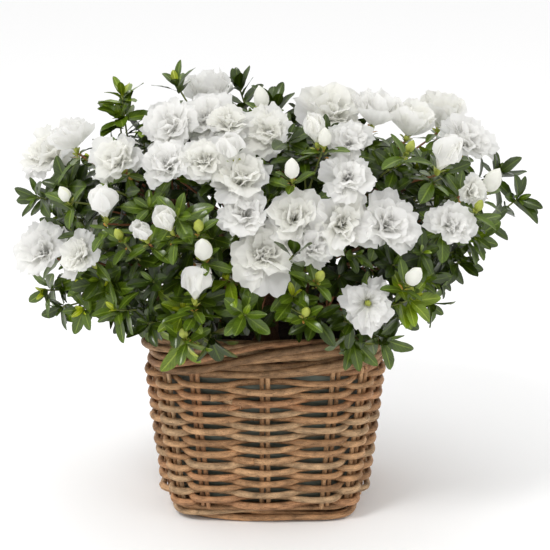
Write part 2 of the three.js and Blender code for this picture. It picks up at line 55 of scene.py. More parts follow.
HUB = np.array([0.0, 0.0, 172.0])
CROWN = dict(x=3.0, z=230.0, half_x=205.0, half_y=178.0, up=116.0, down=90.0, n=2.6, forward=0.12, low=0.35)
TRUNK = dict(foot=17.0, flare=14.0, base=10.5, tip=5.0, top=202.0, sway=2.2)
BOUGH_REACH, BOUGH_STRAIGHT, BOUGH_BASE, BOUGH_TIP = 62.0, 9.0, 2.3, 1.5
STEM_REACH = 0.6
LEAF_LENGTH = 37.0
TIP_SHARE, LATTICE, LOWEST = 0.135, 620, -13.0
CORE_POINTS = 11
SEED, SPACE_MARGIN = 1100, 0.4
RULED = dict(count=2, spread=15.0, diameter=50.0, vary=8.0)

MASSES = [
    ("left_shoulder", -77, 37, [(-84, 33, 46), (-62, 40, 28)]),
    ("left_skirt", -54, 14, [(-56, 16, 46), (-44, 17, 34)]),
    ("left_brow", -44, 41, [(-40, 38, 46), (-42, 45, 30)]),
    ("front_left_skirt", -25, 11, [(-20, 14, 28), (-31, 26, 28)]),
    ("crown_left", -33, 62, [(-27, 54, 60), (-62, 73, 34)]),
    ("front_left_brow", -13, 39, [(-22, 40, 48), (-10, 42, 38), (-7, 33, 48)]),
    ("front", 1, 17, [(1, 22, 60)]),
    ("front_right_brow", 17, 33, [(22, 37, 44), (9, 30, 45), (22, 27, 54)]),
    ("front_right_skirt", 30, 4, [(30, 7, 44)]),
    ("crown_right", 22, 62, [(3, 54, 40), (43, 66, 52)]),
    ("right_skirt", 45, 22, [(33, 26, 42), (44, 23, 36)]),
    ("right_brow", 47, 48, [(44, 53, 32), (48, 38, 30)]),
    ("right_shoulder", 75, 38, [(64, 34, 44), (84, 47, 38)]),
    ("right_side", 82, 12, [(78, 25, 26), (101, 14, 46)]),
    ("left_side", -97, 9, None),
    ("back_right_skirt", 122, 13, None),
    ("back_skirt", 164, 13, None),
    ("back_left_skirt", -146, 13, None),
    ("back_right_shoulder", 115, 44, None),
    ("back_right_brow", 152, 41, None),
    ("back_left_brow", -166, 41, None),
    ("back_left_shoulder", -122, 42, None),
    ("crown_back", -175, 71, None),
]


def stream(seed):
    """The source's seeded stream of numbers from 0 to 1."""
    state = [seed & 0xFFFFFFFF]

    def draw():
        state[0] = (state[0] + 0x6D2B79F5) & 0xFFFFFFFF
        t = state[0]
        t = ((t ^ (t >> 15)) * (t | 1)) & 0xFFFFFFFF
        t ^= (t + (((t ^ (t >> 7)) * (t | 61)) & 0xFFFFFFFF)) & 0xFFFFFFFF
        return ((t ^ (t >> 14)) & 0xFFFFFFFF) / 4294967296

    return draw


def direction(azimuth, elevation):
    a, e = math.radians(azimuth), math.radians(elevation)
    return np.array([math.sin(a) * math.cos(e), -math.cos(a) * math.cos(e), math.sin(e)])


def unit(v):
    return v / np.maximum(1e-12, np.linalg.norm(v, axis=-1, keepdims=True))


AXES = np.array([direction(az, el) for _, az, el, _ in MASSES])


def crown_level(p):
    level = p[..., 2] - CROWN["z"]
    rise = np.where(level > 0, level * (1 + CROWN["forward"] * p[..., 1] / CROWN["up"]), level)
    middle = CROWN["x"] + CROWN["low"] * np.minimum(0, level)
    high = np.where(rise > 0, CROWN["up"], CROWN["down"])
    n = CROWN["n"]
    return (
        np.abs((p[..., 0] - middle) / CROWN["half_x"]) ** n
        + np.abs(p[..., 1] / CROWN["half_y"]) ** n
        + np.abs(rise / high) ** n
    )


def crown_reach(d):
    low = np.zeros(d.shape[:-1])
    high = np.full(d.shape[:-1], 400.0)
    for _ in range(30):
        middle = (low + high) / 2
        inside = crown_level(HUB + d * middle[..., None]) < 1
        low = np.where(inside, middle, low)
        high = np.where(inside, high, middle)
    return low


def on_crown(d, depth):
    """The point in direction d from the hub that lies this deep under the crown's surface."""
    return HUB + d * (float(crown_reach(d)) - depth)


def planes(m):
    others = [i for i in range(len(MASSES)) if i != m]
    return unit(AXES[m] - AXES[others])


def settled(p, radius, m):
    p = p.copy()
    for _ in range(12):
        for normal in planes(m):
            p += normal * max(0.0, radius + SPACE_MARGIN - (p - HUB) @ normal)
    return p


def clear_of_basket(p):
    half = (np.abs(p[..., 0]) ** BASKET_N + np.abs(p[..., 1]) ** BASKET_N) ** (1 / BASKET_N)
    return (p[..., 2] > HEIGHT + 2) | (half > stake_half(HEIGHT) + 14)


def stake_half(z):
    return STAKE_HALF + LEAN * z


def mass_tips(m):
    """The blooms (centre, radius) and leafy shoots that the mass's solid has, by the source's rule."""
    _, azimuth, elevation, named = MASSES[m]
    draw = stream(SEED + m)
    for _ in range(CORE_POINTS):
        draw()
    if named is None:
        named = []
        for i in range(RULED["count"]):
            turn = math.pi * (i + 0.5 * draw())
            across = RULED["spread"] * math.cos(turn) / math.cos(math.radians(elevation))
            size = RULED["diameter"] + RULED["vary"] * (draw() - 0.5)
            named.append((azimuth + across, elevation + RULED["spread"] * math.sin(turn + 0.4), size))
    blooms = [
        (settled(on_crown(direction(az, el), 0.375 * size), size / 2, m), size / 2)
        for az, el, size in named
    ]
    taken = [unit(c - HUB) for c, _ in blooms]
    free = list(SHARES[m])
    count = round(TIP_SHARE * len(free))
    shoots = []
    while len(shoots) < count and free:
        near = [max([-1.0] + [float(t @ d) for t in taken]) for d in free]
        d = free.pop(int(np.argmin(near)))
        taken.append(d)
        tip = on_crown(d, LEAF_LENGTH * (0.5 + 0.35 * draw()))
        if ((tip - HUB) @ planes(m).T).min() > SPACE_MARGIN and clear_of_basket(tip):
            shoots.append(tip)
    return blooms, shoots


def lattice(count, lowest):
    i = np.arange(count)
    elevation = np.degrees(np.arcsin(1 - 2 * (i + 0.5) / count))
    azimuth = (180 * (3 - math.sqrt(5)) * i) % 360
    d = np.array([direction(a, e) for a, e in zip(azimuth, elevation)])
    return d[elevation >= lowest]


ALL_WAYS = lattice(LATTICE, LOWEST)
NEAREST = np.argmax(ALL_WAYS @ AXES.T, axis=1)
SHARES = [ALL_WAYS[NEAREST == m] for m in range(len(MASSES))]

# ---- Meshes from arrays

MM = 0.001


def put(name, data):
    """A new object in the scene."""
    obj = bpy.data.objects.new(name, data)
    bpy.context.scene.collection.objects.link(obj)
    return obj


def sheet(u, v):
    """Every pair of the values u and v, as rows x columns x 2."""
    return np.stack(np.meshgrid(u, v, indexing="ij"), -1)


class Batch:
    """Quads of one kind gathered from many small grids, made into one mesh at the end."""

    def __init__(self):
        self.points, self.quads, self.uvs, self.mats = [], [], [], []
        self.count = 0

    def grid(self, p, uv, mat=0, wrap=False):
        """p is rows x columns x 3. wrap joins the last column to the first, and uv then has one more."""
        rows, cols = p.shape[:2]
        r, c = np.meshgrid(np.arange(rows - 1), np.arange(cols if wrap else cols - 1), indexing="ij")
        d = (c + 1) % cols
        quads = np.stack([r * cols + c, r * cols + d, (r + 1) * cols + d, (r + 1) * cols + c], -1)
        corners = np.stack([uv[r, c], uv[r, c + 1], uv[r + 1, c + 1], uv[r + 1, c]], -2)
        self.points.append(p.reshape(-1, 3))
        self.quads.append(quads.reshape(-1, 4) + self.count)
        self.uvs.append(corners.reshape(-1, 4, 2))
        self.mats.append(np.full(quads[..., 0].size, mat, np.int32))
        self.count += rows * cols

    def build(self, name, materials):
        co = np.concatenate(self.points)
        quads = np.concatenate(self.quads)
        mesh = bpy.data.meshes.new(name)
        mesh.vertices.add(len(co))
        mesh.vertices.foreach_set("co", (co * MM).astype(np.float32).ravel())
        mesh.loops.add(len(quads) * 4)
        mesh.loops.foreach_set("vertex_index", quads.astype(np.int32).ravel())
        mesh.polygons.add(len(quads))
        mesh.polygons.foreach_set("loop_start", np.arange(len(quads), dtype=np.int32) * 4)
        mesh.polygons.foreach_set("material_index", np.concatenate(self.mats))
        mesh.polygons.foreach_set("use_smooth", np.full(len(quads), True))
        layer = mesh.uv_layers.new(name="UVMap")
        layer.data.foreach_set("uv", np.concatenate(self.uvs).astype(np.float32).ravel())
        for material in materials:
            mesh.materials.append(material)
        mesh.update(calc_edges=True)
        mesh.validate()
        return put(name, mesh)


def piece(obj, slot, *nodes):
    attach(obj, "root")
    if nodes:
        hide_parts(*nodes)


def tube(batch, path, radius, sides, mat=0, up=(0, 0, 1), rough=None, rng=None, start=0.0, cut=None):
    """A rod along a path, with UVs in centimetres along and around it. Its ends are capped, and the
    first is a clean cut in the material "cut" where one is given."""
    path = np.asarray(path, float)
    n = len(path)
    radius = np.broadcast_to(np.asarray(radius, float), (n,))
    tangent = unit(np.gradient(path, axis=0))
    side = unit(np.cross(tangent, np.broadcast_to(np.asarray(up, float), (n, 3))))
    over = np.cross(side, tangent)
    a = np.arange(sides) * 2 * math.pi / sides
    r = radius[:, None] * np.ones((n, sides))
    if rough is not None:
        r = r * (1 + rough * (rng.random((n, sides)) - 0.5))
    ring = path[:, None] + r[..., None] * (
        np.cos(a)[None, :, None] * side[:, None] + np.sin(a)[None, :, None] * over[:, None]
    )
    along = running(np.linalg.norm(np.diff(path, axis=0), axis=1))
    shut = 0.02
    first = path[0] + (ring[0] - path[0]) * shut
    last = path[-1] + (ring[-1] - path[-1]) * shut
    if cut is not None:
        face = path[0] - tangent[0] * 0.02 + (ring[0] - path[0]) * np.array([shut, 0.93])[:, None, None]
        batch.grid(face, np.zeros((2, sides + 1, 2)), cut, wrap=True)
        first = face[1]
    ring = np.concatenate([first[None], ring, last[None]])
    along = np.concatenate([along[:1] - radius[0], along, along[-1:] + radius[-1]])
    around = np.arange(sides + 1) / sides * 2 * math.pi * radius.mean()
    batch.grid(ring, sheet((along + start) / 10, around / 10), mat, wrap=True)


def rod(batch, path, thick, sides, tint, rng, rough=0.04, stretch=500, **ways):
    """A willow rod that takes its fibres and blotches from a place of its own."""
    tube(batch, path, thick, sides, tint, rough=rough, rng=rng, start=rng.uniform(0, stretch), **ways)


def running(steps):
    """The sums of the steps up to each point, from 0."""
    return np.concatenate([[0], np.cumsum(steps)])


def smooth_noise(rng, n, step, closed=False):
    """A slow random curve of n values between about -1 and 1."""
    k = max(4, int(n / step))
    knots = rng.uniform(-1, 1, k)
    x = np.arange(n) / n * k
    i = x.astype(int)
    t = x - i
    t = t * t * (3 - 2 * t)
    j = (i + 1) % k if closed else np.minimum(i + 1, k - 1)
    return knots[i] * (1 - t) + knots[j] * t


# ---- Materials


def grey(k):
    return k, k, k, 1


def linear(*rgb):
    return [((c / 255 + 0.055) / 1.055) ** 2.4 if c > 10 else c / 255 / 12.92 for c in rgb] + [1.0]


def new_material(name, color, roughness, **sockets):
    mat = bpy.data.materials.new(name)
    mat.use_nodes = True
    shader = mat.node_tree.nodes["Principled BSDF"]
    shader.inputs["Base Color"].default_value = color
    shader.inputs["Roughness"].default_value = roughness
    for key, value in sockets.items():
        shader.inputs[key].default_value = value
    mat.diffuse_color = color
    return mat, mat.node_tree, shader


def add(tree, kind, **values):
    node = tree.nodes.new(kind)
    for key, value in values.items():
        if key in node.inputs:
            node.inputs[key].default_value = value
        else:
            setattr(node, key, value)
    return node


def feed(tree, value, socket):
    """Links an output to the socket, or sets the socket to a plain value."""
    if hasattr(value, "is_linked"):
        tree.links.new(value, socket)
    else:
        socket.default_value = value


def sums(tree, operation, *values):
    node = add(tree, "ShaderNodeMath", operation=operation)
    for value, socket in zip(values, node.inputs):
        feed(tree, value, socket)
    return node.outputs[0]


def uv_parts(tree):
    """The two coordinates across and along a leaf or petal."""
    split = add(tree, "ShaderNodeSeparateXYZ")
    tree.links.new(add(tree, "ShaderNodeTexCoord").outputs["UV"], split.inputs["Vector"])
    return split.outputs["X"], split.outputs["Y"]


def noise(tree, source, scale, detail=3.0, roughness=0.55):
    """Noise over the UVs or the object's own coordinates, with a scale along each of them."""
    mapping = add(tree, "ShaderNodeMapping", Scale=scale)
    tree.links.new(add(tree, "ShaderNodeTexCoord").outputs[source], mapping.inputs["Vector"])
    node = add(tree, "ShaderNodeTexNoise", Scale=1.0, Detail=detail, Roughness=roughness)
    tree.links.new(mapping.outputs["Vector"], node.inputs["Vector"])
    return node.outputs["Fac"]


def ramp(tree, fac, *stops):
    node = add(tree, "ShaderNodeValToRGB")
    elements = node.color_ramp.elements
    while len(elements) < len(stops):
        elements.new(0.5)
    for element, (position, color) in zip(elements, stops):
        element.position = position
        element.color = color
    tree.links.new(fac, node.inputs["Fac"])
    return node.outputs["Color"]


def mix(tree, fac, a, b, blend="MIX"):
    node = add(tree, "ShaderNodeMix", data_type="RGBA", blend_type=blend)
    for value, name in ((fac, "Factor_Float"), (a, "A_Color"), (b, "B_Color")):
        feed(tree, value, next(s for s in node.inputs if s.identifier == name))
    return next(s for s in node.outputs if s.identifier == "Result_Color")


def dress(tree, shader, color, height, strength, distance):
    """Gives the shader its colour and its relief."""
    node = add(tree, "ShaderNodeBump", Strength=strength, Distance=distance)
    tree.links.new(height, node.inputs["Height"])
    tree.links.new(node.outputs["Normal"], shader.inputs["Normal"])
    tree.links.new(color, shader.inputs["Base Color"])


def shade(color, k):
    return [min(1.0, c * k) for c in color[:3]] + [1.0]


def willow(name, color):
    """Dry willow: fibres along the rod, blotches where the bark was, flecks, and thin lighter patches that
    are partly bark rubbed bare by wear and partly painted highlight.
    """
    mat, tree, shader = new_material(name, color, 0.62, **{"Specular IOR Level": 0.3})
    fibres = noise(tree, "UV", (1.1, 16, 1), 4.0, 0.65)
    blotch = noise(tree, "UV", (0.9, 1.6, 1), 4.0, 0.6)
    flecks = noise(tree, "UV", (7, 13, 1), 3.0, 0.6)
    tone = ramp(tree, blotch, (0.32, shade(color, 0.52)), (0.5, color), (0.68, shade(color, 1.45)))
    streak = ramp(tree, fibres, (0.34, (0.4, 0.35, 0.3, 1)), (0.5, grey(1)))
    base = mix(tree, 0.8, tone, streak, "MULTIPLY")
    # Lighter patches at random along the rods, made by the bare mask below: partly rubbed bare wood, partly
    # painted highlight
    wear_and_highlight = noise(tree, "UV", (1.9, 4.6, 1), 5.0, 0.7)
    bare = ramp(tree, wear_and_highlight, (0.56, grey(0)), (0.7, grey(0.5)))
    base = mix(tree, bare, base, shade(color, 1.8))
    dark = ramp(tree, flecks, (0.34, (0.3, 0.23, 0.17, 1)), (0.43, grey(1)))
    rough = ramp(tree, blotch, (0.3, grey(0.75)), (0.7, grey(0.45)))
    tree.links.new(rough, shader.inputs["Roughness"])
    relief = mix(tree, 0.4, fibres, flecks)
    dress(tree, shader, mix(tree, 0.85, base, dark, "MULTIPLY"), relief, 0.9, 0.0009)
    return mat


def leaf_material(name, color, vein):
    """A leaf with a paler midrib and side veins, a mottled blade and a waxy coat."""
    coat = {"Specular IOR Level": 0.3, "Coat Weight": 0.28, "Coat Roughness": 0.19}
    mat, tree, shader = new_material(name, color, 0.3, **coat)
    mottle = noise(tree, "Object", (90, 90, 90), 3.0)
    tones = [(at, shade(color, k)) for at, k in ((0.3, 0.62), (0.5, 0.95), (0.75, 1.45))]
    blade = ramp(tree, mottle, *tones)
    across, along = uv_parts(tree)
    wide = sums(tree, "ABSOLUTE", sums(tree, "SUBTRACT", across, 0.5))
    rib = ramp(tree, wide, (0.0, grey(1)), (0.035, grey(0.8)), (0.075, grey(0)))
    wave = sums(tree, "PINGPONG", sums(tree, "MULTIPLY_ADD", wide, -0.55, along), 0.065)
    veins = ramp(tree, wave, (0.0, grey(0.35)), (0.02, grey(0)))
    dress(tree, shader, mix(tree, rib, mix(tree, veins, blade, vein), vein), mottle, 0.25, 0.0008)
    return mat


def petal_material(name, color, deep):
    """A thin white petal, a little see-through, with faint veins and a tinted claw."""
    mat, tree, shader = new_material(name, color, 0.5, **{"Specular IOR Level": 0.3})
    crepe = noise(tree, "UV", (9, 2.2, 1), 4.0, 0.65)
    fine = noise(tree, "Object", (420, 420, 420), 3.0)
    claw = ramp(tree, uv_parts(tree)[1], (0.0, grey(1)), (0.42, grey(0)))
    blade = ramp(tree, crepe, (0.3, shade(color, 0.93)), (0.55, color))
    dress(tree, shader, mix(tree, claw, blade, deep), mix(tree, 0.5, crepe, fine), 0.35, 0.0008)
    clear = add(tree, "ShaderNodeBsdfTranslucent", Color=(0.95, 0.95, 0.92, 1))
    both = add(tree, "ShaderNodeMixShader", Fac=0.6)
    tree.links.new(shader.outputs["BSDF"], both.inputs[1])
    tree.links.new(clear.outputs["BSDF"], both.inputs[2])
    tree.links.new(both.outputs["Shader"], tree.nodes["Material Output"].inputs["Surface"])
    return mat


def grainy(name, color, roughness, scale, spread, depth):
    """A plain stuff with an even grain in its tone and its relief."""
    mat, tree, shader = new_material(name, color, roughness)
    grain = noise(tree, "Object", (scale, scale, scale), 5.0, 0.65)
    tone = ramp(tree, grain, (0.25, shade(color, 1 - spread)), (0.75, shade(color, 1 + spread)))
    dress(tree, shader, tone, grain, 0.7, depth)
    return mat


def willows(prefix, **colors):
    return [willow(f"{prefix}_{name}", linear(*rgb)) for name, rgb in colors.items()]


# The last of each set is the pale cut end of a rod
WILLOWS = willows(
    "willow", tan=(182, 143, 104), brown=(170, 130, 92), red=(172, 128, 91),
    grey=(176, 145, 110), dark=(146, 110, 76), cut=(214, 190, 160),
)
RIM_WILLOWS = willows(
    "rim", brown=(154, 120, 86), grey=(162, 133, 99), dark=(128, 98, 68),
    red=(154, 113, 78), cut=(200, 175, 146),
)
LINER_MATERIAL = grainy("liner_plastic", linear(116, 124, 112), 0.5, 60, 0.25, 0.0004)
SOIL_MATERIAL = grainy("peat", linear(48, 36, 27), 0.95, 260, 0.6, 0.003)
BARK_MATERIAL = grainy("azalea_bark", linear(112, 78, 52), 0.85, 320, 0.5, 0.0012)
TWIG_MATERIALS = [
    grainy("twig_brown", linear(124, 78, 46), 0.7, 300, 0.35, 0.0005),
    grainy("twig_green", linear(104, 112, 48), 0.55, 300, 0.3, 0.0004),
]
# From the oldest leaves to the youngest: the colours of their blades and of their veins
LEAVES = [
    leaf_material(f"leaf_{name}", linear(*color), linear(*vein))
    for name, color, vein in (
        ("deep", (32, 47, 4), (58, 74, 18)),
        ("dark", (46, 63, 6), (80, 98, 28)),
        ("mid", (66, 87, 11), (108, 128, 42)),
        ("fresh", (96, 118, 12), (142, 160, 50)),
        ("lime", (144, 156, 18), (186, 192, 70)),
    )
]
PETALS = [
    petal_material("petal_white", linear(246, 245, 245), linear(246, 247, 238)),
    petal_material("petal_cream", linear(246, 245, 240), linear(230, 232, 190)),
]
CALYX = grainy("calyx_green", linear(150, 158, 62), 0.5, 260, 0.3, 0.0004)
SCALE = grainy("bud_scale", linear(186, 134, 62), 0.6, 260, 0.35, 0.0004)

# ---- The basket. A rod's size is half its thickness.

WEAVER_ROD, WEAVER_SWING = 2.6, 5.6
STAKE_ROD, STAKE_APART, STAKE_TOP = 1.85, 2.35, 131
FLOOR_ROD, FLOOR_CHECK, FLOOR_HALF = 2.0, 5.6, 66.5
FOOT_ROD, FOOT_HALF, FOOT_N = 2.5, 69.6, 6.5
RIM_OUTER, RIM_CORE = 2.85, 3.3
CUT, RIM_CUT = len(WILLOWS) - 1, len(RIM_WILLOWS) - 1


def plan(half, azimuth, z, out=0.0, n=BASKET_N):
    a = np.radians(azimuth)
    x, y = np.sin(a), -np.cos(a)
    r = half / (np.abs(x) ** n + np.abs(y) ** n) ** (1 / n)
    normal = unit(np.stack([np.sign(v) * np.abs(v) ** (n - 1) for v in (x, y)], -1))
    z = np.broadcast_to(z, np.shape(azimuth))
    return np.stack([x * r + normal[..., 0] * out, y * r + normal[..., 1] * out, z], -1)


def weave():
    """Each row is rods laid end to end, in front of every other pair of stakes."""
    rng, batch = np.random.default_rng(7), Batch()
    knots = np.array([p - 180 for p in PAIRS] + [360])
    steps = 256
    for row in range(ROWS):
        ends = np.sort(rng.uniform(0, 360, rng.integers(2, 4)))
        z0 = FLANGE_TOP + GAP + ROW_HEIGHT / 2 + PITCH * row
        az = np.arange(steps) * 360 / steps
        k = np.clip(np.searchsorted(knots, az, side="right") - 1, 0, 15)
        t = (az - knots[k]) / (knots[k + 1] - knots[k])
        swing = np.where((k + row) % 2 == 0, 1.0, -1.0) * np.cos(math.pi * t)
        swing = np.sign(swing) * np.abs(swing) ** 0.8
        thick = WEAVER_ROD + 0.26 * smooth_noise(rng, steps, 11, True) + 0.18 * rng.uniform(-1, 1)
        out = WEAVER_SWING * swing + 0.35 * smooth_noise(rng, steps, 14, True)
        sag = 0.9 * np.cos(np.radians(4 * az)) * (z0 - FLANGE_TOP) / 100
        z = z0 + 0.8 * smooth_noise(rng, steps, 18, True) - 0.35 * swing - sag
        path = plan(stake_half(z), az + 180, z, out)
        for i, first in enumerate(ends):
            last = ends[(i + 1) % len(ends)] + (360 if i == len(ends) - 1 else 0)
            idx = np.arange(int(first / 360 * steps), int(last / 360 * steps) + 1) % steps
            part = path[idx].copy()
            lift = np.clip(1 - np.arange(len(idx)) / 5, 0, 1)[:, None]
            part += unit(part * (1, 1, 0)) * lift * 1.1
            tint = rng.choice(5, p=[0.3, 0.3, 0.16, 0.16, 0.08])
            rod(batch, part, thick[idx], 10, tint, rng, cut=CUT)
    return batch.build("weave", WILLOWS)


def stakes():
    """The stakes in pairs, and the floor and flange that they stand on."""
    rng, batch = np.random.default_rng(8), Batch()
    steps = 44
    z = np.linspace(FLANGE_TOP - 2, STAKE_TOP, steps)
    for azimuth in PAIRS:
        centre = plan(stake_half(z), np.full(steps, float(azimuth)), z)
        normal = unit(centre[0] * (1, 1, 0) - centre[-1] * (1, 1, 0))
        along = unit(np.cross((0, 0, 1), plan(1.0, np.array(float(azimuth)), 0.0, 1.0) * (1, 1, 0)))
        for side in (-1, 1):
            wobble = 0.25 * smooth_noise(rng, steps, 9)
            path = centre + along * (side * STAKE_APART + wobble)[:, None]
            thick = STAKE_ROD + 0.12 * smooth_noise(rng, steps, 8)
            tint = rng.choice(5, p=[0.3, 0.3, 0.25, 0.1, 0.05])
            rod(batch, path, thick, 9, tint, rng, up=normal)
    az = np.linspace(0, 360, 129)[:-1]
    edge = stake_half(FLANGE_TOP)
    levels = [(0.6, half) for half in (0.5, 20.0, 40.0, 66.0, 67.0)]
    levels += [(12.2, 67.0), (12.2, edge + 1.2)]
    levels += [(FLANGE_TOP, half) for half in (edge + 1.4, 20.0, 0.5)]
    rings = np.array([plan(half, az, z) for z, half in levels])
    batch.grid(rings, sheet(np.arange(len(rings)) * 2.0, np.linspace(0, 50, 129)), 4, wrap=True)
    return batch.build("stakes_and_floor", WILLOWS)


def floor_weave():
    """The woven underside: rods in a close square check that show from below."""
    rng, batch = np.random.default_rng(9), Batch()
    for i in range(-11, 12):
        x = i * FLOOR_CHECK
        reach = 64.5 * (1 - abs(x / FLOOR_HALF) ** BASKET_N) ** (1 / BASKET_N)
        t = np.linspace(-reach, reach, 60)
        z = 3.1 + 0.8 * np.sin(t / (2 * FLOOR_CHECK) * math.pi) * (1 if i % 2 else -1)
        path = np.stack([np.full(60, x), t, z], -1)
        rod(batch, path, FLOOR_ROD + 0.15 - 0.02 * abs(i), 8, rng.integers(0, 5), rng, 0.03, 99)
    for j in range(-5, 6):
        y = (2 * j + 1) * FLOOR_CHECK
        reach = 64.0 * max(0.05, 1 - abs(y / FLOOR_HALF) ** BASKET_N) ** (1 / BASKET_N)
        t = np.linspace(-reach, reach, 70)
        path = np.stack([t, np.full(70, y), np.full(70, 3.2)], -1)
        rod(batch, path, FLOOR_ROD, 8, rng.integers(0, 5), rng, 0.03, 99)
    return batch.build("floor_weave", WILLOWS)


def rope(batch, rng, strands, laps, middle, rise, reach, size, half_at, shift, cut, n=BASKET_N, first=0.0):
    """Rods that wind round the plan and round each other with a long lay. In one lap of the basket a
    rod moves on by a whole number of its neighbours' places, so that each runs on into another."""
    steps = 240
    az = np.arange(steps + 1) * 360 / steps + 180
    turn = 2 * math.pi / strands
    for s in range(strands):
        slow = 0.5 * turn * smooth_noise(rng, steps + 1, 40)
        slow *= np.sin(math.pi * np.arange(steps + 1) / steps)
        phase = turn * (s + laps * (az - 180) / 360) + slow + first
        proud = 1 + 0.06 * smooth_noise(rng, steps + 1, 26)
        z = middle + rise * np.cos(phase)
        path = plan(half_at(z), az, z, shift + reach * np.sin(phase) * proud, n)
        thick = size * (1 + 0.1 * smooth_noise(rng, steps + 1, 30))
        ends = [0, int(steps * rng.uniform(0.25, 0.42)), int(steps * rng.uniform(0.55, 0.8)), steps]
        for a, b in zip(ends, ends[1:]):
            part = slice(a, b + 1)
            rod(batch, path[part], thick[part], 12, rng.integers(0, 4), rng, 0.035, cut=cut)


def rim():
    rng, batch = np.random.default_rng(11), Batch()
    ways = dict(middle=HEIGHT - RIM_RISE - RIM_ROD, half_at=stake_half, shift=-RIM_INSET, cut=RIM_CUT)
    rope(batch, rng, strands=8, laps=-12, rise=13.0, reach=6.5, size=RIM_OUTER, **ways)
    rope(batch, rng, strands=3, laps=-4, rise=7.2, reach=1.2, size=RIM_CORE, first=0.6, **ways)
    return batch.build("rim_border", RIM_WILLOWS)


def foot():
    rng, batch = np.random.default_rng(12), Batch()
    ways = dict(middle=7.5, half_at=lambda z: FOOT_HALF, shift=0.4, cut=CUT, n=FOOT_N)
    rope(batch, rng, strands=3, laps=-5, rise=4.5, reach=2.2, size=FOOT_ROD, **ways)
    return batch.build("foot_border", WILLOWS)


def ring_shell(name, levels, material, wobble=0.0, seed=0):
    """A turned shape on the rounded square plan, through (height, half width) levels."""
    rng = np.random.default_rng(seed)
    az = np.linspace(0, 360, 161)[:-1]
    rings = np.array([plan(half, az, z) for z, half in levels])
    rings[..., 2] += wobble * rng.uniform(-1, 1, rings.shape[:2])
    batch = Batch()
    batch.grid(rings, sheet(np.arange(len(rings)), np.linspace(0, 60, 161)), wrap=True)
    return batch.build(name, [material])


def liner():
    def at(z, out):
        return z, stake_half(z) + out

    outer = [at(z, INSIDE_WEAVE) for z in np.linspace(15.6, LINER_TOP, 24)]
    lip = [at(LINER_TOP + 0.6, INSIDE_WEAVE - 0.5), at(LINER_TOP, INSIDE_WEAVE - 1.5)]
    inner = [at(z, INSIDE_WEAVE - 1.5) for z in (LINER_TOP - 3, SOIL_TOP - 3)]
    floor = [(15.6, 60.0), (15.6, 0.5)]
    return ring_shell("liner", floor[::-1] + outer + lip + inner, LINER_MATERIAL)


def soil():
    half = stake_half(SOIL_TOP) + INSIDE_WEAVE - 1.8
    levels = [(SOIL_TOP + 0.8 * math.sin(k * 2.1), half * (1 - k / 26) + 0.4) for k in range(26)]
    levels.insert(0, (SOIL_TOP - 6, half))
    return ring_shell("soil_surface", levels, SOIL_MATERIAL, wobble=1.3, seed=5)


piece(weave(), "willow", "weaver_1", "weaver_2")
piece(stakes(), "stake_willow", "basket_frame")
piece(floor_weave(), "stake_willow")
piece(rim(), "rim_willow", "rim_strand_1", "rim_strand_2", "rim_strand_3")
piece(foot(), "willow", "foot_rod_1", "foot_rod_2")
piece(liner(), "liner", "liner_pot")
piece(soil(), "soil", "soil")

# ---- The limbs


def trunk_at(z):
    rise = (z - SOIL_TOP) / (TRUNK["top"] - SOIL_TOP)
    flare = np.maximum(0, 1 - (z - SOIL_TOP) / TRUNK["flare"])
    sway = TRUNK["sway"]
    centre = np.stack([sway * np.sin(math.pi * rise), -sway * np.sin(2 * math.pi * rise), z], -1)
    base = TRUNK["base"]
    return centre, base + (TRUNK["tip"] - base) * rise + (TRUNK["foot"] - base) * flare**2


TIERS = [(25, (152, 163)), (50, (174, 185)), (91, (194, 194))]


def bough_height(m):
    def tier(i):
        return next(k for k, (below, _) in enumerate(TIERS) if MASSES[i][2] < below)

    mine = tier(m)
    members = sorted((i for i in range(len(MASSES)) if tier(i) == mine), key=lambda i: MASSES[i][1])
    return TIERS[mine][1][members.index(m) % 2]


def bezier(a, b, c, n):
    t = np.linspace(0, 1, n)[:, None]
    return (1 - t) ** 2 * a + 2 * t * (1 - t) * b + t * t * c


def limbs():
    """The trunk with its ridged bark, and the boughs that run on into the masses as their stems."""
    rng, batch = np.random.default_rng(21), Batch()
    rows, sides = 64, 36
    z = np.linspace(SOIL_TOP - 1.5, TRUNK["top"] + 1, rows)
    centre, radius = trunk_at(np.maximum(z, SOIL_TOP))
    centre[:, 2] = z
    a = np.arange(sides) * 2 * math.pi / sides
    ridge = 0.93 + 0.05 * np.sin(3 * a + 0.4)[None] + 0.05 * np.sin(11 * a[None] + 0.05 * z[:, None])
    ridge = ridge + 0.05 * (rng.random((rows, sides)) - 0.5)
    r = radius[:, None] * ridge
    r[-1] *= 0.02
    ring = centre[:, None] + r[..., None] * np.stack([np.cos(a), np.sin(a), 0 * a], -1)
    batch.grid(ring, sheet(z / 10, np.linspace(0, 6, sides + 1)), wrap=True)
    for m, (_, azimuth, *_) in enumerate(MASSES):
        end = HUB + AXES[m] * (BOUGH_REACH - GAP)
        middle, thick = trunk_at(np.array(float(bough_height(m))))
        start = middle + direction(azimuth, 0) * 0.5 * thick
        neck = end - AXES[m] * BOUGH_STRAIGHT
        bend = start + direction(azimuth, 8) * 0.5 * np.linalg.norm(start - neck)
        top = HUB + AXES[m] * STEM_REACH * crown_reach(AXES[m])
        path = np.concatenate([bezier(start, bend, neck, 16), np.linspace(neck, top, 14)[1:]])
        n = len(path)
        thick = np.interp(np.arange(n), [0, 15, n - 1], [BOUGH_BASE, BOUGH_TIP * 1.1, BOUGH_TIP * 0.8])
        thick = thick * (1 + 0.1 * smooth_noise(rng, n, 4))
        path = path + 0.5 * np.stack([smooth_noise(rng, n, 5) for _ in range(3)], -1)
        tube(batch, path, thick, 10, 0, up=direction(azimuth + 90, 0), rough=0.12, rng=rng)
    return batch.build("limbs", [BARK_MATERIAL])


piece(limbs(), "bark", "trunk", *[f"bough_{name}" for name, *_ in MASSES])

# ---- Leaves, twigs, buds and blooms


def around(turn, side, over):
    return math.cos(turn) * side + math.sin(turn) * over


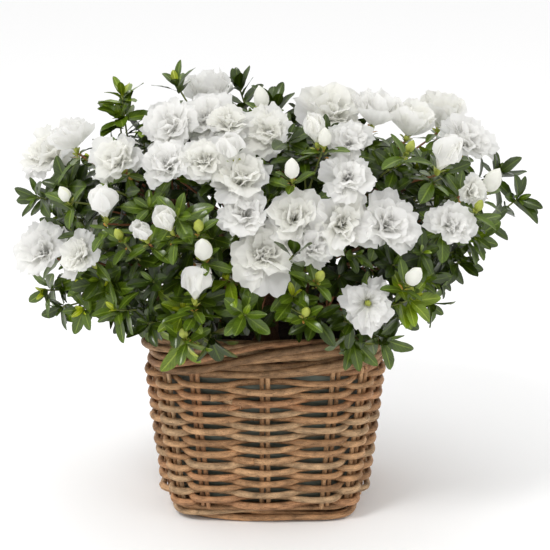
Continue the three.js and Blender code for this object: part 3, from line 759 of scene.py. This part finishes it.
def basis(axis):
    pole = np.array([0.0, 0.0, 1.0]) if abs(axis[2]) < 0.95 else np.array([0.0, 1.0, 0.0])
    side = unit(np.cross(pole, axis))
    return side, unit(np.cross(axis, side))


LEAF_V = np.array([0.0, 0.1, 0.28, 0.5, 0.7, 0.87, 0.96, 1.0])
LEAF_W = np.array([0.1, 0.36, 0.78, 1.0, 0.93, 0.62, 0.32, 0.04])
LEAF_FINE = np.array([-1.0, -0.5, 0.0, 0.5, 1.0])
LEAF_PLAIN = np.array([-1.0, 0.0, 1.0])
LEAF_SLIM = 0.41
GOLDEN = 137.5


def leaf(batch, root, along, face, length, width, mat, rng, columns):
    """A leaf blade: folded a little at the midrib, arched along its length, wavy at its edge."""
    side = unit(np.cross(along, face))
    bend = rng.uniform(0.0, 0.7)
    fold = rng.uniform(0.1, 0.4)
    twist = rng.normal(0, 0.2)
    angle = bend * LEAF_V
    middle = (angle[1:] + angle[:-1]) / 2
    run, drop = (length * running(part(middle) * np.diff(LEAF_V)) for part in (np.cos, np.sin))
    spine = root + run[:, None] * along - drop[:, None] * face
    normal = np.cos(angle)[:, None] * face + np.sin(angle)[:, None] * along
    across = np.cos(twist * LEAF_V)[:, None] * side + np.sin(twist * LEAF_V)[:, None] * normal
    w = 0.5 * width * LEAF_W
    edge = 0.05 * width * np.sin(9 * LEAF_V + rng.uniform(0, 6))
    lift = w[:, None] * np.abs(columns) * fold + edge[:, None] * (np.abs(columns) > 0.9)
    sideways = (w[:, None] * columns)[..., None] * across[:, None]
    p = spine[:, None] + sideways + lift[..., None] * normal[:, None]
    batch.grid(p, sheet(LEAF_V, columns / 2 + 0.5)[..., ::-1], mat)


def anywhere(p):
    return True


def rosette(
    batch, tip, axis, rng, count, length, mats, opening,
    young=0, columns=LEAF_FINE, slim=LEAF_SLIM, free=anywhere,
):
    """Leaves in a spiral round a shoot's end, the youngest smallest, palest and most upright. Those
    are left out that would end where it isn't free."""
    side, over = basis(axis)
    first = rng.uniform(0, 360)
    for i in range(count + young):
        inner = i >= count
        turn = math.radians(first + GOLDEN * i + rng.normal(0, 11))
        share = i / max(1, count - 1)
        tilt = opening[1] + (opening[0] - opening[1]) * share
        tilt = math.radians(rng.uniform(10, 34) if inner else tilt + rng.normal(0, 9))
        out = around(turn, side, over)
        along = unit(math.cos(tilt) * axis + math.sin(tilt) * out)
        face = unit(math.sin(tilt) * axis - math.cos(tilt) * out)
        size = length * (rng.uniform(0.34, 0.52) if inner else rng.uniform(0.78, 1.14) * (1 - 0.2 * share))
        back = tip - axis * (rng.uniform(0, 1) if inner else (1 - share) * rng.uniform(3, 9))
        mat = mats[1] if inner else mats[0]
        if free(back + along * size) and free(back + along * 0.6 * size):
            width = size * slim * rng.uniform(0.85, 1.12)
            leaf(batch, back + out * 0.5, along, face, size, width, mat, rng, columns)


def twig_path(start, end, rng, bow=0.1):
    """A twig that leaves its stem outwards and turns up to its tip."""
    middle = (start + end) / 2
    middle = middle + np.linalg.norm(end - start) * bow * (np.array([0, 0, -1.0]) + rng.normal(0, 0.5, 3))
    return bezier(start, middle, end, 8)


def wavy(rng, u, cycles):
    """A random wave across a petal, -1 to 1 or so, with about that many cycles."""
    total = np.zeros_like(u)
    for k, strength in ((1.0, 0.6), (1.9, 0.35), (3.1, 0.2)):
        pace = math.pi * cycles * k * rng.uniform(0.85, 1.15)
        total = total + strength * np.sin(pace * u + rng.uniform(0, 6.3))
    return total


def petal(batch, foot, axis, out, size, form, rng, mat):
    """One petal: a fan of ruffles that opens from its claw and arches out from the bloom's axis."""
    rows, cols = form["grid"]
    u = np.linspace(-1, 1, cols)[None]
    rho = (np.linspace(0.02, 1, rows) ** 0.85)[:, None]
    a = np.radians(form["fan"]) * u * rng.uniform(0.86, 1.14)
    ragged = min(1.2, form["ruffle"] / 0.07)
    margin = ragged * (0.055 * wavy(rng, u, 2.2) + 0.035 * wavy(rng, u, 5.0))
    reach = 1 - form["shoulder"] * np.abs(u) ** 2.4 + margin * rho**3
    across = rho * reach * np.sin(a) * (0.42 + 0.58 * rho)
    y = rho * reach * np.cos(a)
    lean = rng.normal(0, form["loose"])
    low, high = np.radians(form["low"] + 0.5 * lean), np.radians(form["high"] + lean)
    table = np.linspace(0, 1.2, 40)
    bend = low + (high - low) * table ** form["power"]
    run, climb = (running(part(bend[1:]) * table[1]) for part in (np.sin, np.cos))
    side = np.cross(axis, out)
    spread, rise, turned = (np.interp(y, table, v)[..., None] for v in (run, climb, bend))
    normal = -np.cos(turned) * out + np.sin(turned) * axis
    ruffle = form["ruffle"]
    lift = form["cup"] * across**2 + ruffle * rho**1.8 * wavy(rng, u + 0.25 * rho, form["waves"])
    lift = lift + 0.3 * ruffle * rho**3 * wavy(rng, u, 3.2 * form["waves"])
    lift = lift + 0.3 * ruffle * wavy(rng, rho * 1.5 + 0.6 * u, 1.6) * rho
    twist = np.radians(rng.normal(0, form["loose"] * 1.2)) * rho
    x = across * np.cos(twist) + 0.014 * form["loose"] * rng.normal() * rho**2
    lift = lift + across * np.sin(twist)
    p = foot + size * (spread * out + rise * axis + x[..., None] * side + lift[..., None] * normal)
    batch.grid(p, sheet(rho[:, 0], u[0] / 2 + 0.5)[..., ::-1], mat)


# A whorl is a ring of like petals: how many, their size, the half angle of their fan, how many
# degrees they lean out at the foot and at the edge, how that grows, how hollow and how ruffled they
# are, the waves of the ruffle, how loosely they stand, their mesh, and how far their shoulders drop
WHORL = "count size fan low high power cup ruffle waves loose grid shoulder".split()
SHOULDER = 0.27


def whorl(*values):
    return dict(zip(WHORL, values + (SHOULDER,)))


FULL = [
    whorl(6, 1.15, 37, 16, 94, 0.75, 0.05, 0.075, 1.6, 10, (10, 17), 0.3),
    whorl(7, 1.09, 37, 12, 74, 0.8, 0.15, 0.09, 1.7, 12, (10, 15), 0.3),
    whorl(6, 1.0, 37, 8, 52, 0.9, 0.25, 0.1, 1.7, 12, (9, 13)),
    whorl(5, 0.88, 35, 2, 32, 1.0, 0.3, 0.11, 1.7, 12, (8, 11)),
    whorl(4, 0.72, 34, -6, 12, 1.0, 0.5, 0.13, 1.7, 10, (6, 9)),
]
OPEN = [
    whorl(6, 1.14, 37, 16, 96, 0.7, 0.05, 0.1, 1.8, 9, (10, 17), 0.3),
    whorl(6, 0.98, 36, 14, 80, 0.8, 0.15, 0.13, 2.0, 12, (10, 15)),
    whorl(6, 0.78, 32, 10, 62, 0.9, 0.2, 0.15, 2.0, 14, (8, 13)),
]
CUP = [
    whorl(5, 1.55, 42, 62, 22, 0.75, 0.35, 0.08, 1.5, 8, (11, 15), 0.3),
    whorl(6, 1.6, 36, 46, 14, 0.8, 0.4, 0.09, 1.7, 10, (10, 13), 0.3),
    whorl(5, 1.55, 34, 28, 8, 1.0, 0.5, 0.11, 1.7, 10, (9, 11)),
]
TULIP = [
    whorl(4, 1.9, 40, 36, -14, 0.7, 1.5, 0.012, 1.2, 2, (10, 11), 0.4),
    whorl(3, 1.85, 38, 30, -10, 0.7, 1.5, 0.015, 1.2, 3, (10, 11), 0.4),
    whorl(3, 1.75, 34, 22, -6, 0.8, 1.4, 0.03, 1.4, 4, (9, 9), 0.36),
]
FORMS = {"full": FULL, "open": OPEN, "cup": CUP, "tulip": TULIP}
# How far a bloom of each form turns to the viewer, and how far its foot is behind its middle
TURNED = {"full": 0.4, "open": 0.5, "cup": 0.05, "tulip": 0.0}
DEEP = {"full": 0.62, "open": 0.62, "cup": 0.75, "tulip": 0.95}


def bloom(batches, foot, axis, radius, rng, whorls, heart):
    side, over = basis(axis)
    first = rng.uniform(0, 360)
    for k, form in enumerate(whorls):
        for i in range(form["count"]):
            turn = math.radians(first + 360 * i / form["count"] + 31 * k + rng.normal(0, 10))
            out = around(turn, side, over)
            size = radius * form["size"] * rng.uniform(0.86, 1.1)
            petal(batches[min(k, 2)], foot + out * 0.7, axis, out, size, form, rng, heart if k >= 1 else 0)


def spindle(batch, foot, axis, length, radius, mat, sides=10, ribs=0.0):
    """A closed bud: narrow at its foot, widest near its middle, its furled petals as turning ribs."""
    t = np.array([0.0, 0.05, 0.15, 0.3, 0.46, 0.62, 0.76, 0.88, 0.96, 1.0])
    r = radius * np.array([0.3, 0.52, 0.82, 0.99, 1.0, 0.88, 0.66, 0.38, 0.15, 0.03])
    side, over = basis(axis)
    a = np.arange(sides) * 2 * math.pi / sides
    furl = a[None] * 2.5 - 3.5 * t[:, None]
    r = r[:, None] * (1 + ribs * (2 * np.abs(np.sin(furl)) - 1.3))
    ring = foot + axis * (t * length)[:, None, None]
    ring = ring + r[..., None] * (np.cos(a)[:, None] * side + np.sin(a)[:, None] * over)
    batch.grid(ring, sheet(t, np.linspace(0, 1, sides + 1)), mat, wrap=True)


def calyx(batch, foot, axis, rng, size):
    """The green knob under a bloom, with its sepals and the dry scales of last year's bud."""
    spindle(batch, foot - axis * 4.2, axis, 7.5, 2.1 * size, 0, sides=8)
    for back, count, length, mat, opening, slim in (
        (1.5, 5, 8.5, 0, (34, 44), 0.42),
        (3.5, 3, 6.0, 2, (40, 62), 0.5),
    ):
        at, length = foot - axis * back, length * size
        rosette(batch, at, axis, rng, count, length, (mat, mat), opening, columns=LEAF_PLAIN, slim=slim)


UP = np.array([0.0, 0.0, 1.0])
# The way to the viewer, and the picture's right and up
VIEWER = direction(0, 15)
PICTURE = np.array([[1.0, 0.0, 0.0], np.cross([1.0, 0.0, 0.0], -VIEWER)])
# The leafy crown's outline from the front: how far it reaches from the hub, every 15 degrees from
# low on the left, over the top, to low on the right. Blooms and single shoots stand out of it.
OUTLINE = [88, 112, 154, 178, 184, 166, 158, 148, 142, 144, 144, 150, 188, 178, 134, 104, 94]
OUTLINE_TURNS = np.linspace(-120, 120, len(OUTLINE))
# How far inside the outline a shoot ends, and the same behind the topmost blooms
LEAF_OUT, LEAF_OUT_BEHIND = 20, 9
# In front no leaves hang lower than this from the hub, within this distance of the middle
HEM, HEM_HALF = -28, 104

# Azimuth, elevation, diameter, form, how far the bloom turns up, and how far it stands out
FRONT_BLOOMS = [
    (-76, 35, 54, "full", 0.2, 6), (-59, 40, 28, "cup", 0.7, 3), (-62, 16, 46, "full", 0.1, 1),
    (-45, 18, 36, "full", 0.0, 2), (-42, 39, 46, "full", 0.3, 0), (-34, 50, 47, "full", 0.1, 2),
    (-24, 56, 46, "full", 0.2, 0), (-27, 40, 41, "full", 0.4, 0), (-17, 42, 39, "full", 0.2, 0),
    (-13, 53, 36, "full", 0.3, 0), (-9, 44, 24, "tulip", 0.6, 3), (-7, 40, 48, "full", 0.4, 0),
    (-5, 32, 41, "full", 0.1, 0), (1, 52, 44, "full", 0.3, 0), (35, 61, 58, "full", 0.2, 0),
    (26, 46, 36, "full", 0.4, -2), (43, 53, 34, "cup", 0.8, 0), (-70, 74, 35, "cup", 0.8, 0),
    (22, 38, 42, "full", 0.2, 0), (8, 31, 46, "full", 0.2, 0), (20, 29, 50, "full", 0.1, 0),
    (31, 27, 50, "full", 0.1, 0), (0, 23, 53, "full", 0.0, 3), (12, 24, 34, "full", 0.0, 0),
    (26, 10, 42, "open", 0.0, 3), (50, 47, 34, "cup", 0.8, 0), (102, 44, 38, "cup", 0.8, 0),
    (75, 39, 50, "full", 0.3, 0), (53, 29, 26, "full", 0.0, -4), (48, 37, 31, "tulip", 0.7, 3),
    (45, 24, 37, "full", 0.1, 1), (-38, 29, 27, "tulip", 0.7, 3), (-16, 16, 29, "tulip", 0.8, 4),
    (-23, 28, 22, "tulip", 0.6, 2), (-28, 25, 20, "tulip", 0.5, 2), (15, 48, 24, "tulip", 0.7, 4),
]
# Azimuth, elevation and length of the buds. The shortest ones are still green.
BUDS = [
    (-2, 62, 14), (17, 46, 12), (7, 40, 13), (-14, 24, 16), (-15, 28, 9), (13, 18, 9), (61, 30, 16),
    (34, 16, 14), (-48, 29, 11), (-33, 24, 8), (50, 26, 8), (100, 40, 13), (130, 25, 12),
    (150, 52, 13), (178, 30, 12), (-160, 22, 13), (-135, 50, 12), (-110, 30, 13), (-95, 48, 11),
    (115, 58, 12), (-170, 64, 12), (-20, 4, 8), (10, 10, 8), (38, 40, 8),
]
GREEN_BUD = 9
# Shoots that stand out by themselves: x, y, z of the end, how far they turn up and to the viewer,
# the materials of their leaves, and how far these spread. First the outline's, from the left over
# the top to the right.
SINGLE_SHOOTS = [
    (-172, -70, 262, 0.0, 0.0, (1, 2), 0.8), (-149, -75, 272, 0.3, 0.3, (1, 1), 1),
    (-149, -80, 241, -0.5, 0.2, (1, 2), 1), (-110, -20, 331, 0.7, 0.4, (3, 4), 0.8),
    (-112, -24, 316, 0.2, 0.5, (2, 3), 0.9), (-67, -40, 343, 0.8, 0.3, (2, 4), 0.6),
    (-20, 0, 334, 0.9, 0.1, (1, 1), 0.35), (-11, -60, 319, 0.5, 0.3, (1, 2), 0.9),
    (8, -60, 329, 0.9, 0.0, (1, 2), 0.5), (180, -30, 272, 0.9, 0.5, (1, 2), 0.6),
    (195, -40, 254, 0.0, 0.5, (1, 2), 0.9), (172, -50, 236, -0.1, 0.5, (1, 2), 1),
    (160, -70, 231, 0.0, 0.5, (2, 3), 0.8), (149, -72, 212, -0.1, 0.4, (1, 2), 0.9),
    (129, -90, 207, -0.1, 0.5, (1, 2), 0.9), (124, -100, 187, 0.0, 0.3, (2, 2), 1),
    (101, -120, 182, -0.3, 0.4, (1, 2), 0.9),
    # low in front, from the left to the right
    (-165, -80, 192, -0.1, 0.5, (2, 4), 1), (-154, -85, 180, -0.3, 0.6, (1, 2), 1),
    (-136, -100, 183, -0.2, 0.8, (2, 4), 1), (-113, -120, 204, 0.1, 0.9, (2, 4), 1),
    (-88, -125, 190, -0.3, 0.5, (1, 2), 1), (-59, -150, 196, 0.5, 0.5, (3, 4), 1),
    (106, -140, 201, 0.4, 0.5, (3, 4), 1),
    # between the blooms
    (17, -125, 318, 0.8, 0.2, (1, 1), 0.8), (-62, -158, 268, 0.3, 0.6, (2, 3), 1),
    (21, -174, 244, 0.8, 0.1, (1, 1), 0.6),
]
# Shoots with longer leaves that hang over the rim
RIM_SHOOTS = [
    (-60, -119, 161, -0.5, 0.8, (3, 4), 1), (-40, -122, 166, -0.6, 0.3, (1, 1), 0.8),
    (66, -117, 162, -0.9, 0.3, (2, 2), 0.6), (88, -110, 162, -0.7, 0.6, (2, 2), 0.8),
]
# Bare spots in front, with a twig in sight or the dark inside: x, y, z and radius
BARE = [(27, -128, 189, 7), (4, -112, 171, 8)]
BARE_TWIG = (24, -131, 199)
# Shoots of the sides and back, as azimuth and elevation on the crown
FAR_SHOOTS = [
    (-110, 20), (-135, 30), (-160, 12), (-178, 34), (160, 24), (140, 8), (118, 30), (100, 20), (172, 60),
    (-125, 55), (130, 62),
]
# The materials of a shoot's leaves and of its youngest ones, how often each pair comes, and those of the
# inner layers. The inner layers' pairs are the darkest tones, even for their youngest leaves: painted shade
# for the dark inside of the crown.
TONES = [(0, 2), (1, 2), (1, 3), (2, 3), (2, 4), (3, 4)]
TONE_ODDS = [0.18, 0.3, 0.22, 0.16, 0.09, 0.05]
INNER_TONES = [(0, 1), (0, 1), (1, 2)]
# Each layer of shoots from the outside in: how far out it ends, the share of the fine lattice that it
# keeps, its room to the blooms and to the other shoots, its leaves on a shoot and their youngest
LAYERS = [(0.86, 0.75, 6, 21, 7, 2), (0.76, 0.6, 0, 24, 7, 1), (0.6, 0.34, -4, 26, 6, 1)]
FINE_LATTICE = 2600


def below_hem(p):
    """Whether leaves from here would hang before the rim in front, where it is bare."""
    x, y = PICTURE @ (p - HUB)
    return p[1] < 0 and abs(x) < HEM_HALF and y < HEM


def inside_outline(p, room):
    """The point, drawn in towards the hub where it would leave the crown's outline from the front."""
    x, y = PICTURE @ (p - HUB)
    limit = np.interp(math.degrees(math.atan2(x, y)), OUTLINE_TURNS, OUTLINE) - room
    return HUB + (p - HUB) * min(1.0, limit / max(1.0, math.hypot(x, y)))


def leaf_room(tip):
    """How far inside the outline a shoot ends: less behind the topmost blooms, which hide its leaves."""
    return LEAF_OUT_BEHIND if tip[1] > -40 and tip[2] > 270 else LEAF_OUT


class Plant:
    """The leaves, twigs, buds and blooms, gathered by kind, with one seeded stream."""

    def __init__(self):
        self.rng = np.random.default_rng(31)
        self.leaves, self.petals = [Batch() for _ in LAYERS], [Batch() for _ in range(3)]
        self.twigs, self.buds = Batch(), Batch()
        self.centres, self.radii, self.facing = [], [], []

    def twig(self, start, end, thick, mat, up, bow=0.1):
        radius = np.linspace(thick, 0.72 * thick, 8)
        tube(self.twigs, twig_path(start, end, self.rng, bow), radius, 5, mat, up=up)

    def shoot(self, tip, layer, count, length, mats, young=2, upward=0.35, toward=0.0, spread=1.0):
        """A leafy shoot: its twig, a spiral of leaves at its end and a few lower down."""
        rng = self.rng
        start = leave_stem(tip)
        outward = unit(tip - start)
        side, over = basis(outward)
        self.twig(start, tip, 0.95, 0 if layer else 1, side)
        axis = unit(0.75 * outward + upward * UP + toward * VIEWER + rng.normal(0, 0.15, 3))
        columns = LEAF_PLAIN if layer else LEAF_FINE
        batch = self.leaves[layer]
        opening, free = (42 * spread, 88 * spread), self.outside_blooms
        rosette(batch, tip, axis, rng, count, length, mats, opening, young, columns, free=free)
        for _ in range(3 if layer < 2 else 0):
            at = tip - outward * rng.uniform(8, 22)
            out = around(rng.uniform(0, 2 * math.pi), side, over)
            size = length * rng.uniform(0.75, 1.0)
            face, along = unit(outward - 0.5 * out), unit(0.5 * outward + out)
            if free(at + along * size):
                leaf(batch, at, along, face, size, LEAF_SLIM * size, mats[0], rng, columns)

    def collar(self, at, axis, count, length, opening):
        """The leaves right under a bloom or bud."""
        free = self.outside_blooms
        rosette(self.leaves[0], at, axis, self.rng, count, length, (2, 3), opening, free=free)

    def flower(self, centre, radius, form, axis):
        rng = self.rng
        foot = centre - axis * radius * DEEP[form]
        self.twig(leave_stem(centre), foot - axis * 4, 1.1, 0, basis(axis)[0], bow=0.05)
        bloom(self.petals, foot, axis, radius, rng, FORMS[form], int(rng.random() < 0.5))
        if form == "open":
            spindle(self.buds, foot + 2 * axis, axis, 0.5 * radius, 0.11 * radius, 0, ribs=0.25)
        calyx(self.buds, foot, axis, rng, 1.0 if radius > 15 else 0.85)
        self.collar(foot - axis * 6, axis, 6, 24, (74, 104))

    def keep_clear(self, centre, radius, axis):
        self.centres.append(centre)
        self.radii.append(radius)
        self.facing.append(axis)

    def outside_blooms(self, p):
        away = np.linalg.norm(p - np.array(self.centres), axis=1)
        return bool((away > 0.85 * np.array(self.radii)).all())

    def hides_bloom(self, tip, margin):
        """Whether a shoot that ends here would stand in a bloom or before its face."""
        away = tip - np.array(self.centres)
        radii, facing = np.array(self.radii), np.array(self.facing)
        along = np.einsum("ij,ij->i", away, facing)
        across = np.linalg.norm(away - along[:, None] * facing, axis=1)
        before = (along > -0.5 * radii) & (across < radii + margin)
        behind = (along > -0.5 * radii - 16) & (across < 0.85 * radii)
        return bool((before | behind).any())

    def bud(self, azimuth, elevation, size):
        rng = self.rng
        d = direction(azimuth, elevation)
        tip = inside_outline(on_crown(d, 2), -6 if abs(azimuth) < 90 else 12)
        axis = unit(unit(tip - HUB) + 0.9 * UP + rng.normal(0, 0.15, 3))
        foot = tip - axis * size
        self.twig(leave_stem(tip), foot, 1.0, 1, basis(axis)[0])
        calyx(self.buds, foot + axis, axis, rng, max(0.6, size / 17))
        green = size <= GREEN_BUD
        spindle(self.buds, foot + axis, axis, size * 1.28, size * 0.4, 0 if green else 1, 20, 0.07)
        self.keep_clear(tip - axis * 0.4 * size, 0.45 * size, unit(d + VIEWER))
        self.collar(foot - axis * 3, axis, 5, 22, (42, 88))

    def tones(self, layer):
        if layer:
            return INNER_TONES[self.rng.integers(0, len(INNER_TONES))]
        return TONES[self.rng.choice(len(TONES), p=TONE_ODDS)]


def leave_stem(p):
    """The point on the nearest bough's stem where the twig to p leaves it."""
    m = int(np.argmax(AXES @ unit(p - HUB)))
    root = HUB + AXES[m] * BOUGH_REACH
    top = HUB + AXES[m] * STEM_REACH * float(crown_reach(AXES[m]))
    wide = math.acos(np.clip(unit(p - HUB) @ AXES[m], -1, 1))
    return root + (top - root) * min(0.97, max(0.3, 1 - 0.9 * wide))


def more_blooms(plant, m):
    """Further blooms for a mass at the sides or back, where its own leave room."""
    found = []
    for d in plant.rng.permutation(SHARES[m]):
        radius = plant.rng.uniform(19, 26)
        centre = on_crown(d, 0.75 * radius)
        others = np.array(plant.centres + [c for c, _ in found])
        if d[2] > 0.1 and len(found) < 2 and np.linalg.norm(others - centre, axis=1).min() > 1.9 * radius:
            found.append((centre, radius))
    return found


def grow():
    plant = Plant()
    rng = plant.rng
    flowers = []
    for az, el, diameter, form, tilt, past in FRONT_BLOOMS:
        d = direction(az, el)
        centre = HUB + d * (float(crown_reach(d)) - 0.375 * diameter + past)
        axis = unit((1 - tilt) * d + tilt * UP + TURNED[form] * VIEWER + rng.normal(0, 0.14, 3))
        plant.keep_clear(centre, diameter / 2, axis)
        flowers.append((centre, diameter / 2, form, axis))
    tips = [mass_tips(m) for m in range(len(MASSES))]
    for m in (m for m, mass in enumerate(MASSES) if mass[3] is None):
        for centre, radius in tips[m][0] + more_blooms(plant, m):
            axis = unit(0.65 * unit(centre - HUB) + 0.35 * UP + rng.normal(0, 0.12, 3))
            form = "cup" if rng.random() < 0.25 else "full"
            centre = inside_outline(centre, radius + 4)
            radius *= 0.8 if form == "cup" else 1.0
            plant.keep_clear(centre, radius, axis)
            flowers.append((centre, radius, form, axis))
    for flower in flowers:
        plant.flower(*flower)
    for az, el, size in BUDS:
        plant.bud(az, el, size)
    for x, y, z, radius in BARE:
        plant.keep_clear(np.array([x, y, z], float), radius, VIEWER)
    bare = np.array(BARE_TWIG, float)
    plant.twig(leave_stem(bare), bare, 1.6, 0, (1, 0, 0))
    for places, longer in ((SINGLE_SHOOTS, 0), (RIM_SHOOTS, 5)):
        for x, y, z, upward, toward, tone, spread in places:
            tip, size = np.array([x, y, z], float), rng.uniform(23, 27) + longer
            plant.shoot(tip, 0, 7, size, tone, 3, upward, toward, spread)
    for az, el in FAR_SHOOTS:
        d = direction(az, el)
        tip = inside_outline(on_crown(d, 5), 8)
        plant.shoot(tip, 0, 6, rng.uniform(24, 28), plant.tones(0), upward=0.15)
    placed = []
    for _, shoots in tips:
        for tip in shoots:
            tip = inside_outline(tip, leaf_room(tip))
            if not (below_hem(tip) or plant.hides_bloom(tip, 4)):
                placed.append(tip)
                plant.shoot(tip, 0, 7, rng.uniform(22, 27), plant.tones(0))
    fine = lattice(FINE_LATTICE, LOWEST - 4)
    reach = crown_reach(fine)
    for layer, (share, keep, margin, room, count, young) in enumerate(LAYERS):
        for i in rng.permutation(len(fine)):
            tip = HUB + fine[i] * reach[i] * (share + rng.uniform(-0.06, 0.05))
            tip = inside_outline(tip, leaf_room(tip) + 8 * layer)
            if below_hem(tip) or not clear_of_basket(tip - (0, 0, 6)) or rng.random() > keep:
                continue
            near = np.linalg.norm(np.array(placed) - tip, axis=1).min()
            if near < room or plant.hides_bloom(tip, margin):
                continue
            placed.append(tip)
            plant.shoot(tip, layer, count, rng.uniform(20, 26), plant.tones(layer), young)
    names = [f"foliage_{name}" for name, *_ in MASSES]
    piece(plant.leaves[0].build("leaves_outer", LEAVES), "foliage", *names)
    piece(plant.leaves[1].build("leaves_middle", LEAVES), "foliage")
    piece(plant.leaves[2].build("leaves_inner", LEAVES), "foliage")
    piece(plant.twigs.build("twigs", TWIG_MATERIALS), "bark")
    for batch, name in zip(plant.petals, ("petals_outer", "petals_middle", "petals_heart")):
        piece(batch.build(name, PETALS), "foliage")
    piece(plant.buds.build("buds", [CALYX, PETALS[1], SCALE]), "foliage")


grow()

# ---- The stage: a wide pale floor, soft lights, and the camera


def stage():
    bpy.ops.mesh.primitive_plane_add(size=40, location=(0, 0, 0))
    floor = bpy.context.object
    floor.name = "studio_floor"
    floor.data.materials.append(new_material("studio_white", (0.99, 0.99, 0.99, 1), 0.9)[0])
    scene = bpy.context.scene
    scene.world = scene.world or bpy.data.worlds.new("studio")
    scene.world.use_nodes = True
    background = scene.world.node_tree.nodes["Background"].inputs
    background["Color"].default_value = (1, 1, 1, 1)
    background["Strength"].default_value = 0.95
    scene.view_settings.view_transform = "Standard"
    for name, place, size, power in (
        ("key", (-0.8, -1.2, 1.6), 0.5, 17),
        ("fill", (1.3, -1.1, 0.9), 1.4, 2.5),
        ("top", (0.1, 0.3, 1.9), 1.2, 3),
    ):
        light = bpy.data.lights.new(name, "AREA")
        light.energy, light.size = power, size
        lamp = put(name, light)
        lamp.location = place
        aim(lamp, (0, 0, 0.2))


def aim(obj, target):
    way = Vector(target) - obj.location
    obj.rotation_euler = way.to_track_quat("-Z", "Y").to_euler()


def camera():
    elevation, distance = math.radians(15), 1.6
    target = Vector((0.0078, 0.0, 0.1825))
    data = bpy.data.cameras.new("camera")
    sensor, side, focal = 36, 550, 2000
    data.sensor_width = sensor
    data.lens = focal / side * sensor
    cam = put("camera", data)
    cam.location = target + distance * Vector((0, -math.cos(elevation), math.sin(elevation)))
    aim(cam, target)
    bpy.context.scene.camera = cam


stage()
camera()
